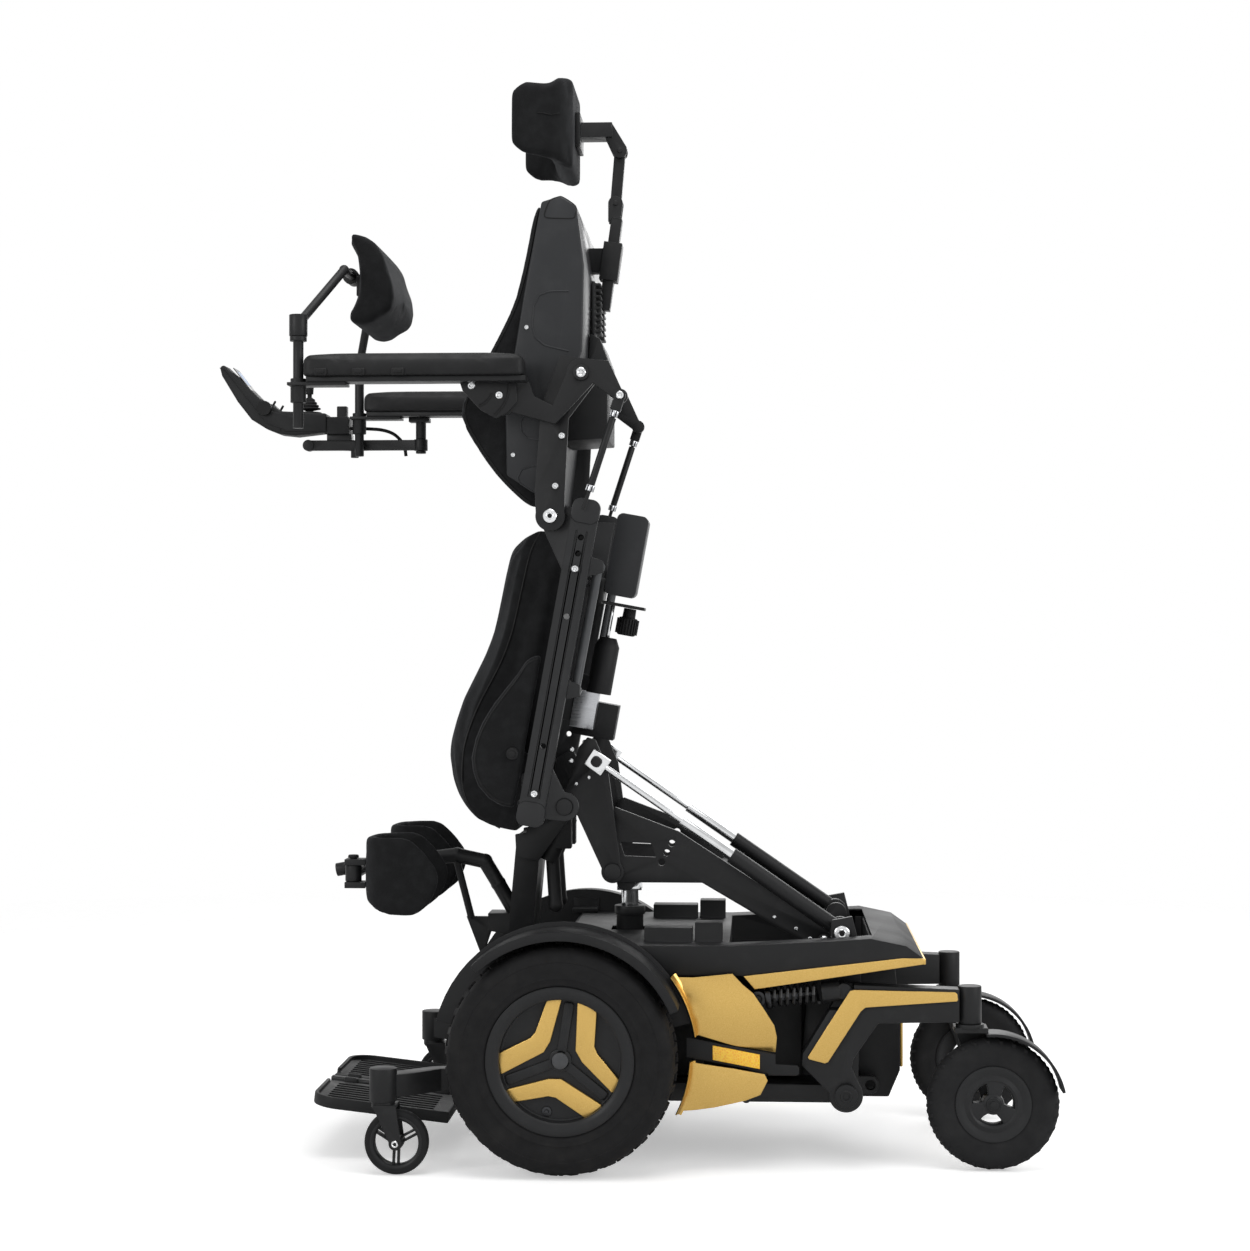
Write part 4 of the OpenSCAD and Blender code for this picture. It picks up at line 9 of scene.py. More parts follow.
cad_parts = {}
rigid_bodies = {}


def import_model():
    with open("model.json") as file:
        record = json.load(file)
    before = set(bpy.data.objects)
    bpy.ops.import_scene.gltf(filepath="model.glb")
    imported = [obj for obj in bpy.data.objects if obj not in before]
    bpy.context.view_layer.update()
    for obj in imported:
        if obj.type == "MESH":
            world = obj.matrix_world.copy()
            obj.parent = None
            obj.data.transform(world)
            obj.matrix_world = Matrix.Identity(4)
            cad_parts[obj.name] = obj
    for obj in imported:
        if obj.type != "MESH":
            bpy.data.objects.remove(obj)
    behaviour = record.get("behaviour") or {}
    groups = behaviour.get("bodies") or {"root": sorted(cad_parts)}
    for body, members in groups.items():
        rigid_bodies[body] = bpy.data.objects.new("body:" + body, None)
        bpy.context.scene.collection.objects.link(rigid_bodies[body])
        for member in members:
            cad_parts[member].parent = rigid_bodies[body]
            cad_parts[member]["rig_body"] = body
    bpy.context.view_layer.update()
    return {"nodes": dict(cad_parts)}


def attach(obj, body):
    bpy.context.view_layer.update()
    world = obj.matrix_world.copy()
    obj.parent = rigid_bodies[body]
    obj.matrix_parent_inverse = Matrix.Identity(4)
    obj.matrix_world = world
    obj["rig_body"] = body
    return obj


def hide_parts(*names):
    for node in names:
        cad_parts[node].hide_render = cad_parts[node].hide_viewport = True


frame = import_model()

MM = 0.001
LEFT, RIGHT = -1, 1
SIDES = (("left", LEFT), ("right", RIGHT))

# Places that part.scad gives, in millimetres
AXLE = Vector((-55.5, 285, 177.5))
HIP = Vector((-75.5, 0, 1003))
KNEE = Vector((-54.5, 0, 556))
SHANK = Vector((13.5, 0, 447))
LIFT_PIVOT = Vector((346.5, 0, 340))
TILT_PIVOT = Vector((372.5, 156.5, 358))
RAIL_FOOT = Vector((-107.5, 0, 532))
RAIL_LEAN = math.radians(10.3)
SWING_PIVOT = Vector((377.5, 204, 114))
SWIVEL = Vector((567.5, 204, 0))
REAR_WHEEL = Vector((602.5, 204, 102))
FRONT_WHEEL = Vector((-306.5, 285, 49))
CUP = Vector((-423.5, 0, 1409))
KNEE_BAR = Vector((-400.5, 126, 442))
ARM_PIVOT = Vector((-26.5, 0, 1221))


# --- Materials: node graphs on Object coordinates, which are metres here ---
class Finish:
    """A procedural material around one Principled shader."""

    def __init__(self, name, colour, roughness, metallic=0.0, **sockets):
        self.material = bpy.data.materials.new(name)
        self.material.use_nodes = True
        self.tree = self.material.node_tree
        self.shader = self.tree.nodes["Principled BSDF"]
        self.place = self.node("ShaderNodeTexCoord").outputs["Object"]
        self.set(self.shader, "Base Color", (*colour, 1))
        self.set(self.shader, "Roughness", roughness)
        self.set(self.shader, "Metallic", metallic)
        for socket, value in sockets.items():
            self.set(self.shader, socket.replace("_", " "), value)
        self.colour, self.roughness, self.normal = colour, roughness, None

    def set(self, node, socket, value):
        node.inputs[socket].default_value = value

    def node(self, kind, inputs=(), **settings):
        made = self.tree.nodes.new(kind)
        for key, value in settings.items():
            setattr(made, key, value)
        for socket, value in dict(inputs).items():
            if isinstance(value, bpy.types.NodeSocket):
                self.tree.links.new(value, made.inputs[socket])
            else:
                made.inputs[socket].default_value = value
        return made

    def stretched(self, scale):
        return self.node("ShaderNodeMapping", {"Vector": self.place, "Scale": scale}).outputs["Vector"]

    def noise(self, scale, detail=3.0, place=None):
        return self.node("ShaderNodeTexNoise", {"Vector": place or self.place, "Scale": scale, "Detail": detail}).outputs["Fac"]

    def cells(self, scale, place=None, feature="F1"):
        made = self.node("ShaderNodeTexVoronoi", {"Vector": place or self.place, "Scale": scale}, feature=feature)
        return made.outputs["Distance"]

    def spread(self, value, low, high, start=0.3, end=0.7):
        made = self.node("ShaderNodeMapRange", {"Value": value, "From Min": start, "From Max": end, "To Min": low, "To Max": high})
        return made.outputs["Result"]

    def vary_roughness(self, value, low, high):
        self.tree.links.new(self.spread(value, low, high), self.shader.inputs["Roughness"])

    def vary_colour(self, value, other, start=0.35, end=0.65):
        mix = self.node("ShaderNodeMix", {"Factor": self.spread(value, 0, 1, start, end)}, data_type="RGBA")
        mix.inputs["A"].default_value = (*self.colour, 1)
        mix.inputs["B"].default_value = (*other, 1)
        self.tree.links.new(mix.outputs["Result"], self.shader.inputs["Base Color"])

    def bump(self, height, depth, strength=1.0):
        inputs = {"Height": height, "Distance": depth * MM, "Strength": strength}
        if self.normal:
            inputs["Normal"] = self.normal
        self.normal = self.node("ShaderNodeBump", inputs).outputs["Normal"]
        self.tree.links.new(self.normal, self.shader.inputs["Normal"])
        return self


def coated_metal(name, colour, worn, roughness=0.42):
    f = Finish(name, colour, roughness, 0.0, Specular_IOR_Level=0.24)
    f.vary_roughness(f.noise(14), roughness - 0.07, roughness + 0.1)
    f.vary_colour(f.noise(38, 6), worn, 0.55, 0.8)
    return f.bump(f.noise(1500, 2), 0.08, 0.5).material


def moulded(name, colour, worn, roughness=0.5, grain=0.12):
    f = Finish(name, colour, roughness, 0.0, Specular_IOR_Level=0.22)
    f.vary_roughness(f.noise(9), roughness - 0.06, roughness + 0.08)
    f.vary_colour(f.noise(26, 5), worn, 0.5, 0.8)
    return f.bump(f.cells(1100), grain, 0.6).material


def stretch_cloth(name, colour, light):
    f = Finish(name, colour, 0.86, 0.0, Specular_IOR_Level=0.12, Sheen_Weight=0.1, Sheen_Roughness=0.45)
    f.set(f.shader, "Sheen Tint", (0.6, 0.62, 0.66, 1))
    knit = f.cells(850, f.stretched((1.0, 1.5, 0.8)))
    f.vary_colour(f.noise(60, 8), light, 0.42, 0.75)
    f.vary_roughness(f.noise(20), 0.8, 0.95)
    f.bump(f.noise(45, 4), 0.5, 0.35)
    return f.bump(knit, 0.35, 0.8).material


def soft_vinyl(name, colour, light):
    f = Finish(name, colour, 0.46, 0.0, Specular_IOR_Level=0.2)
    f.vary_colour(f.noise(30, 6), light, 0.5, 0.8)
    f.vary_roughness(f.noise(55, 4), 0.42, 0.6)
    f.bump(f.cells(520, feature="SMOOTH_F1"), 0.22, 0.5)
    return f.bump(f.noise(160, 4), 0.2, 0.4).material


def gold_paint(name, colour, deep):
    f = Finish(name, colour, 0.34, 0.94, Coat_Weight=0.25, Coat_Roughness=0.18)
    f.vary_colour(f.noise(900, 2), deep, 0.35, 0.75)
    f.vary_roughness(f.noise(700, 3), 0.27, 0.42)
    return f.bump(f.cells(1600), 0.05, 0.35).material


def tyre_rubber(name, colour, dust):
    f = Finish(name, colour, 0.7, 0.0, Specular_IOR_Level=0.16)
    f.vary_colour(f.noise(22, 7), dust, 0.5, 0.8)
    f.vary_roughness(f.noise(60, 4), 0.64, 0.84)
    f.bump(f.noise(380, 5), 0.25, 0.5)
    return f.bump(f.noise(1500, 2), 0.08, 0.5).material


def bright_metal(name, colour, roughness, streaks=(1, 1, 40)):
    f = Finish(name, colour, roughness, 1.0)
    lines = f.noise(60, 4, f.stretched(streaks))
    f.vary_roughness(lines, roughness * 0.75, roughness * 1.4)
    f.vary_colour(f.noise(35, 5), tuple(c * 0.86 for c in colour), 0.45, 0.8)
    return f.bump(lines, 0.03, 0.4).material


def amber_lens(name, colour):
    f = Finish(name, colour, 0.16, 0.0, Specular_IOR_Level=0.7, Coat_Weight=0.6, Coat_Roughness=0.05)
    prisms = f.cells(260, feature="DISTANCE_TO_EDGE")
    f.vary_colour(prisms, (0.93, 0.42, 0.0), 0.0, 0.25)
    return f.bump(prisms, 0.5, 0.6).material


FINISH = {
    "frame_black": coated_metal("satin black coat", (0.0135, 0.0138, 0.0145), (0.019, 0.0195, 0.02)),
    "rail_grey": coated_metal("anodised dark rail", (0.022, 0.0225, 0.0235), (0.028, 0.0285, 0.03), 0.36),
    "cover_black": moulded("moulded black cover", (0.0125, 0.0128, 0.0135), (0.017, 0.0175, 0.018)),
    "shell_grey": moulded("moulded charcoal shell", (0.026, 0.027, 0.029), (0.033, 0.034, 0.036), 0.4, 0.06),
    "gold_panel": gold_paint("gold metallic paint", (0.7, 0.47, 0.145), (0.6, 0.37, 0.09)),
    "amber": amber_lens("amber reflector", (0.98, 0.62, 0.01)),
    "battery_grey": moulded("battery case", (0.03, 0.03, 0.032), (0.045, 0.045, 0.047), 0.6, 0.2),
    "motor_metal": bright_metal("cast motor metal", (0.09, 0.092, 0.096), 0.5, (1, 1, 1)),
    "tyre_black": tyre_rubber("drive tyre rubber", (0.011, 0.011, 0.0115), (0.0175, 0.017, 0.0168)),
    "hub_paint": coated_metal("wheel hub coat", (0.016, 0.0165, 0.0175), (0.021, 0.0215, 0.0225), 0.38),
    "bright_steel": bright_metal("polished steel", (0.78, 0.79, 0.8), 0.16),
    "steel_grey": bright_metal("zinc plated steel", (0.5, 0.51, 0.53), 0.3),
    "dark_steel": bright_metal("blackened steel", (0.05, 0.051, 0.054), 0.36),
    "spring_black": coated_metal("black spring coat", (0.014, 0.0142, 0.015), (0.022, 0.022, 0.023), 0.34),
    "cushion_fabric": stretch_cloth("knitted cushion cover", (0.0098, 0.01, 0.0105), (0.0145, 0.015, 0.0158)),
    "pad_vinyl": soft_vinyl("soft black vinyl", (0.0115, 0.0117, 0.0122), (0.017, 0.0172, 0.018)),
    # Seam piping: a real black cord, with its colour painted darker than the cushion cloth to stand for the shade in
    # the sewn seams (painted shade).
    "piping_painted_shade": soft_vinyl("seam piping", (0.0045, 0.0046, 0.0048), (0.006, 0.0061, 0.0064)),
    "soft_black": moulded("soft black rubber", (0.0105, 0.0106, 0.011), (0.015, 0.015, 0.0155), 0.62, 0.15),
    "roller_black": tyre_rubber("caster rubber", (0.015, 0.0152, 0.016), (0.0215, 0.0215, 0.022)),
    "strut_grey": coated_metal("satin grey strut", (0.075, 0.078, 0.082), (0.09, 0.093, 0.098), 0.3),
    "glass": moulded("dark display glass", (0.012, 0.014, 0.018), (0.013, 0.015, 0.02), 0.08, 0.0),
    "lit_strip": moulded("display strip", (0.28, 0.42, 0.68), (0.36, 0.5, 0.75), 0.2, 0.0),
}


# --- Making and placing pieces ---
def piece(name, bm, body, finish, stands_for=(), smooth=40):
    """Turns a bmesh in millimetres into an object that rides on a body."""
    bmesh.ops.scale(bm, vec=(MM, MM, MM), verts=bm.verts)
    return placed(name, bm, body, finish, stands_for, smooth)


def placed(name, bm, body, finish, stands_for=(), smooth=40):
    """The same for a bmesh in metres."""
    mesh = bpy.data.meshes.new(name)
    limit = math.radians(smooth)
    for face in bm.faces:
        face.smooth = True
    for edge in bm.edges:
        edge.smooth = len(edge.link_faces) == 2 and edge.calc_face_angle(0) < limit
    bm.to_mesh(mesh)
    bm.free()
    mesh.materials.append(FINISH[finish])
    made = bpy.data.objects.new(name, mesh)
    bpy.context.scene.collection.objects.link(made)
    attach(made, body)
    if stands_for:
        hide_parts(*stands_for)
    return made


def outward(bm):
    bmesh.ops.remove_doubles(bm, verts=bm.verts, dist=0.01)
    bmesh.ops.recalc_face_normals(bm, faces=bm.faces)
    return bm


def mirrored(bm):
    """A copy of the bmesh on the other side of the chair."""
    other = bm.copy()
    bmesh.ops.scale(other, vec=(1, -1, 1), verts=other.verts)
    bmesh.ops.reverse_faces(other, faces=other.faces)
    return other


def both(name, make, bodies, finish, smooth=40, stands_for=None):
    """Makes a piece for the right side and its mirror for the left."""
    for side, sign in SIDES:
        bm = make()
        if sign == LEFT:
            bm = mirrored(bm)
        nodes = [n.format(side) for n in stands_for or ()]
        piece(f"{name}_{side}", bm, bodies.format(side), finish, nodes, smooth)


def soften(bm, width, segments=2, above=30, clamp=True):
    sharp = [e for e in bm.edges if len(e.link_faces) == 2 and e.calc_face_angle(0) > math.radians(above)]
    bmesh.ops.bevel(bm, geom=sharp, offset=width, offset_type="OFFSET", segments=segments, profile=0.5,
                    affect="EDGES", clamp_overlap=clamp, material=-1)
    return bm


def plate(outline, y0, y1, width=0.8, segments=2):
    """A plate with an outline in the XZ plane, from y0 to y1."""
    bm = bmesh.new()
    face = bm.faces.new([bm.verts.new((x, y0, z)) for x, z in outline])
    made = bmesh.ops.extrude_face_region(bm, geom=[face])
    bmesh.ops.translate(bm, vec=(0, y1 - y0, 0), verts=[v for v in made["geom"] if isinstance(v, bmesh.types.BMVert)])
    outward(bm)
    return soften(bm, width, segments) if width else bm


def turned(profile, steps=72, closed=False):
    """A shape turned about Y from its (radius, y) outline."""
    bm = bmesh.new()
    verts = [bm.verts.new((r, y, 0)) for r, y in profile]
    pairs = list(zip(verts, verts[1:])) + ([(verts[-1], verts[0])] if closed else [])
    edges = [bm.edges.new(pair) for pair in pairs]
    bmesh.ops.spin(bm, geom=verts + edges, cent=(0, 0, 0), axis=(0, 1, 0), angle=2 * math.pi, steps=steps,
                   use_merge=True, use_normal_flip=False, use_duplicate=False)
    return outward(bm)


def rod(start, end, radius, radius_end=None, steps=32, rim=0.0):
    """A round bar between two places."""
    start, end = Vector(start), Vector(end)
    bm = bmesh.new()
    bmesh.ops.create_cone(bm, cap_ends=True, segments=steps, radius1=radius, depth=(end - start).length,
                          radius2=radius if radius_end is None else radius_end)
    if rim:
        soften(bm, rim, 2, 50)
    turn = (end - start).to_track_quat("Z", "Y").to_matrix().to_4x4()
    bmesh.ops.transform(bm, matrix=Matrix.Translation((start + end) / 2) @ turn, verts=bm.verts)
    return bm


def brick(low, high, width=1.0, segments=2):
    bm = bmesh.new()
    low, high = Vector(low), Vector(high)
    bmesh.ops.create_cube(bm, size=1, matrix=Matrix.Translation((low + high) / 2) @ Matrix.Diagonal((*(high - low), 1)))
    return soften(bm, width, segments) if width else bm


def joined(*parts):
    bm = bmesh.new()
    for part in parts:
        mesh = bpy.data.meshes.new("part")
        part.to_mesh(mesh)
        bm.from_mesh(mesh)
        bpy.data.meshes.remove(mesh)
        part.free()
    return bm


def moved(bm, matrix):
    bmesh.ops.transform(bm, matrix=matrix, verts=bm.verts)
    return bm


def tube(path, radius, sides=10, closed=False):
    """A round tube along a list of places, made from a curve."""
    curve = bpy.data.curves.new("tube", "CURVE")
    curve.dimensions = "3D"
    curve.bevel_depth = radius
    curve.bevel_resolution = max(1, sides // 4)
    curve.use_fill_caps = not closed
    spline = curve.splines.new("NURBS" if len(path) > 3 else "POLY")
    spline.points.add(len(path) - 1)
    for point, at in zip(spline.points, path):
        point.co = (*at, 1)
    spline.use_cyclic_u = closed
    if spline.type == "NURBS":
        spline.order_u = 4 if closed else 3
        spline.use_endpoint_u = not closed
        spline.resolution_u = 4
    holder = bpy.data.objects.new("tube", curve)
    bpy.context.scene.collection.objects.link(holder)
    bpy.context.view_layer.update()
    mesh = bpy.data.meshes.new_from_object(holder.evaluated_get(bpy.context.evaluated_depsgraph_get()))
    bm = bmesh.new()
    bm.from_mesh(mesh)
    bpy.data.objects.remove(holder)
    bpy.data.curves.remove(curve)
    bpy.data.meshes.remove(mesh)
    bmesh.ops.remove_doubles(bm, verts=bm.verts, dist=0.001)
    bmesh.ops.recalc_face_normals(bm, faces=bm.faces)
    return bm


def on_rail(across, y, along):
    """A place on the seat rail: across it, sideways, and along it from the knee end."""
    c, s = math.cos(RAIL_LEAN), math.sin(RAIL_LEAN)
    return RAIL_FOOT + Vector((across * c + along * s, y, -across * s + along * c))


RAIL_FRAME = Matrix.Translation(RAIL_FOOT) @ Matrix.Rotation(RAIL_LEAN, 4, "Y")


# --- CAD nodes with their own shape, given rounded edges and a finish ---
def solids(node):
    """The separate solids of a CAD node, as bmeshes in metres, largest first."""
    bm = bmesh.new()
    bm.from_mesh(frame["nodes"][node].data)
    bmesh.ops.remove_doubles(bm, verts=bm.verts, dist=1e-5)
    bm.verts.ensure_lookup_table()
    seen, groups = set(), []
    for vert in bm.verts:
        if vert.index in seen:
            continue
        group, front = [], [vert]
        seen.add(vert.index)
        while front:
            at = front.pop()
            group.append(at)
            for edge in at.link_edges:
                other = edge.other_vert(at)
                if other.index not in seen:
                    seen.add(other.index)
                    front.append(other)
        groups.append({v.index for v in group})
    made = []
    for group in groups:
        part = bm.copy()
        part.verts.ensure_lookup_table()
        bmesh.ops.delete(part, geom=[v for v in part.verts if v.index not in group], context="VERTS")
        made.append(part)
    bm.free()
    return sorted((p for p in made if len(p.faces) > 8), key=lambda p: -p.calc_volume())


def span(bm):
    xs, ys, zs = zip(*(v.co for v in bm.verts))
    return Vector((min(xs), min(ys), min(zs))) / MM, Vector((max(xs), max(ys), max(zs))) / MM


def rounded_edges(bm, width):
    bmesh.ops.dissolve_limit(bm, angle_limit=math.radians(0.8), verts=bm.verts, edges=bm.edges)
    return soften(bm, width * MM, 2, 32, clamp=False) if width else bm


def dress(node, groups, width=0.9):
    """Replaces a CAD node by its own solids with rounded edges; groups gives (name, finish, test of a solid's box)."""
    body, left = frame["nodes"][node]["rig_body"], solids(node)
    for n, (suffix, finish, test) in enumerate(groups):
        chosen = [p for p in left if test is None or test(*span(p))]
        left = [p for p in left if p not in chosen]
        if not chosen or not finish:
            continue
        bm = joined(*[rounded_edges(p, width) for p in chosen])
        placed(f"{node}_{suffix}" if suffix else f"{node}_body", bm, body, finish, [node])
    for part in left:
        part.free()


WHOLE = [("", "frame_black", None)]


def plain(finish):
    return [("", finish, None)]


def is_knob(lo, hi):
    return lo.x > 0 and lo.z > 795 and hi.z < 885 and 30 < hi.x - lo.x < 60


def seat_knob():
    """Ribbed hand knob between the seat motor's spindle and the control module."""
    solid = [p for p in solids("seat_motor") if is_knob(*span(p))][0]
    inverse = RAIL_FRAME.inverted()
    places = [inverse @ (v.co / MM) for v in solid.verts]
    low, high = min(p.z for p in places), max(p.z for p in places)
    middle = Vector([(min(p[i] for p in places) + max(p[i] for p in places)) / 2 for i in (0, 1)] + [low])
    depth = high - low
    parts = [turned([(0.4, 0), (12, 0), (14.5, 1.5), (15.6, 4), (15.6, depth * 0.6), (14.4, depth * 0.6 + 2), (10.5, depth * 0.6 + 3),
                     (10, depth - 0.5), (0.4, depth - 0.2)], 64)]
    for angle in around(22):
        rib = brick((-1.3, 2.6, 14.6), (1.3, depth * 0.6 + 0.6, 18), 0.7, 2)
        parts.append(moved(rib, Matrix.Rotation(angle, 4, "Y")))
    place = RAIL_FRAME @ Matrix.Translation(middle) @ Matrix.Rotation(math.pi / 2, 4, "X")
    piece("seat_motor_knob", moved(joined(*parts), place), "seat", "soft_black", ["seat_motor"])


def dress_all():
    seat_knob()
    for node in ("chassis_frame", "lift_arms", "carrier", "back_frame", "headrest_bar", "headrest_arm",
                 "joystick_arm", "chest_arm", "leg_frame", "lift_column"):
        dress(node, WHOLE)
    for node in ("base_cover", "wheel_guards", "leg_actuator"):
        dress(node, plain("cover_black"), 1.6)
    dress("batteries", plain("battery_grey"), 1.5)
    dress("drive_motors", plain("motor_metal"))
    dress("lift_piston", plain("bright_steel"))
    dress("tilt_tubes", plain("frame_black"))
    dress("tilt_rods", plain("bright_steel"), 0.7)
    dress("seat_frame", plain("rail_grey"), 1.2)
    dress("shock_dampers", plain("dark_steel"))
    dress("side_reflectors", plain("amber"), 0.6)
    dress("control_module", [("box", "shell_grey", lambda lo, hi: hi.z > 950), ("bracket", "frame_black", None)])
    dress("rear_cover", [("grille", "cover_black", lambda lo, hi: lo.z > 1290), ("hump", "cover_black", None)], 2.0)
    dress("seat_motor", [
        ("knob", None, is_knob),
        ("struts", "strut_grey", lambda lo, hi: abs(lo.y) > 200 and hi.z > 900),
        ("gears", "steel_grey", lambda lo, hi: lo.x > -62 and hi.x < 0 and hi.y < -50 and hi.z > 730),
        ("spindle", "bright_steel", lambda lo, hi: hi.x - lo.x < 18 and hi.z > 860 and hi.y > -70),
        ("body", "cover_black", None)])
    for side, sign in SIDES:
        dress(f"rear_fork_{side}", WHOLE)
        dress(f"front_fork_{side}", WHOLE)
        dress(f"footplate_{side}", plain("cover_black"), 2.0)
        dress(f"armrest_rod_{side}", WHOLE, 0.5)
        dress(f"shock_spring_{side}", plain("spring_black"), 0)
        dress(f"armrest_{side}", WHOLE)
        dress(f"swing_arm_{side}", WHOLE, 1.6)
    dress("joystick_housing", plain("cover_black"), 1.6)
    dress("joystick_stick", plain("soft_black"), 0.8)


# --- Padded pieces ---
def puffed(bm, name, voxel, cap, shrink, held, rounds=3, pressure=4.0):
    """A padded cover: the pad's solid remeshed, shrunk a little and blown up by the cloth solver, with the held part still."""
    mesh = bpy.data.meshes.new(name)
    bm.to_mesh(mesh)
    bm.free()
    pad = bpy.data.objects.new(name, mesh)
    bpy.context.scene.collection.objects.link(pad)
    remesh = pad.modifiers.new("Remesh", "REMESH")
    remesh.mode = "VOXEL"
    remesh.voxel_size = voxel * MM
    bake(pad)
    bm = bmesh.new()
    bm.from_mesh(pad.data)
    bm.normal_update()
    for vert in bm.verts:
        if not held(vert.co / MM):
            vert.co -= vert.normal * shrink * MM
    for _ in range(rounds):
        bmesh.ops.smooth_vert(bm, verts=bm.verts, factor=0.5, use_axis_x=True, use_axis_y=True, use_axis_z=True)
    bm.to_mesh(pad.data)
    bm.free()
    rest = [v.co.copy() for v in pad.data.vertices]
    pins = pad.vertex_groups.new(name="held")
    pins.add([v.index for v in pad.data.vertices if held(v.co / MM)], 1.0, "REPLACE")
    cloth = pad.modifiers.new("Cloth", "CLOTH")
    settings = cloth.settings
    settings.vertex_group_mass = "held"
    settings.use_pressure = True
    settings.uniform_pressure_force = pressure
    settings.effector_weights.gravity = 0
    settings.quality = 4
    settings.mass = 0.2
    cloth.point_cache.frame_start, cloth.point_cache.frame_end = 1, 20
    for number in range(1, 21):
        bpy.context.scene.frame_set(number)
    bake(pad)
    bpy.context.scene.frame_set(1)
    for vert, start in zip(pad.data.vertices, rest):
        step = vert.co - start
        if step.length > cap * MM:
            vert.co = start + step.normalized() * cap * MM
    smooth = pad.modifiers.new("Smooth", "SUBSURF")
    smooth.levels = smooth.render_levels = 1
    bake(pad)
    bm = bmesh.new()
    bm.from_mesh(pad.data)
    bpy.data.objects.remove(pad)
    return bm


def bake(obj):
    """Applies all the modifiers of an object that stands by itself."""
    bpy.context.view_layer.update()
    made = bpy.data.meshes.new_from_object(obj.evaluated_get(bpy.context.evaluated_depsgraph_get()))
    obj.modifiers.clear()
    obj.data = made


def seam_on(pad, name, seeds, radius, body, closed=True, lift=0.35):
    """A sewn edge cord that lies on a pad's surface, nearest to a row of places."""
    mesh = pad.data
    tree = BVHTree.FromPolygons([v.co for v in mesh.vertices], [p.vertices for p in mesh.polygons])
    path = []
    for seed in seeds:
        at, normal, _, _ = tree.find_nearest(Vector(seed) * MM)
        path.append((at + normal * radius * lift * MM) / MM)
    # The cord's finish is painted darker than the cloth: painted shade along the seam.
    return piece(name, tube(path, radius, 8, closed), body, "piping_painted_shade")


def rounded_line(points, steps=3):
    """An open row of places with more places between them."""
    out = [Vector(a).lerp(Vector(b), k / steps) for a, b in zip(points, points[1:]) for k in range(steps)]
    return out + [Vector(points[-1])]


def pad_pair(name, bm, bodies, finish, nodes):
    """Two mirrored pads, from the one for the right."""
    made = {}
    for side, sign in SIDES:
        part = bm.copy() if sign == RIGHT else mirrored(bm)
        stands = [n.format(side) for n in nodes]
        made[side] = placed(f"{name}_{side}", part, bodies.format(side), finish, stands, 180)
    bm.free()
    return made


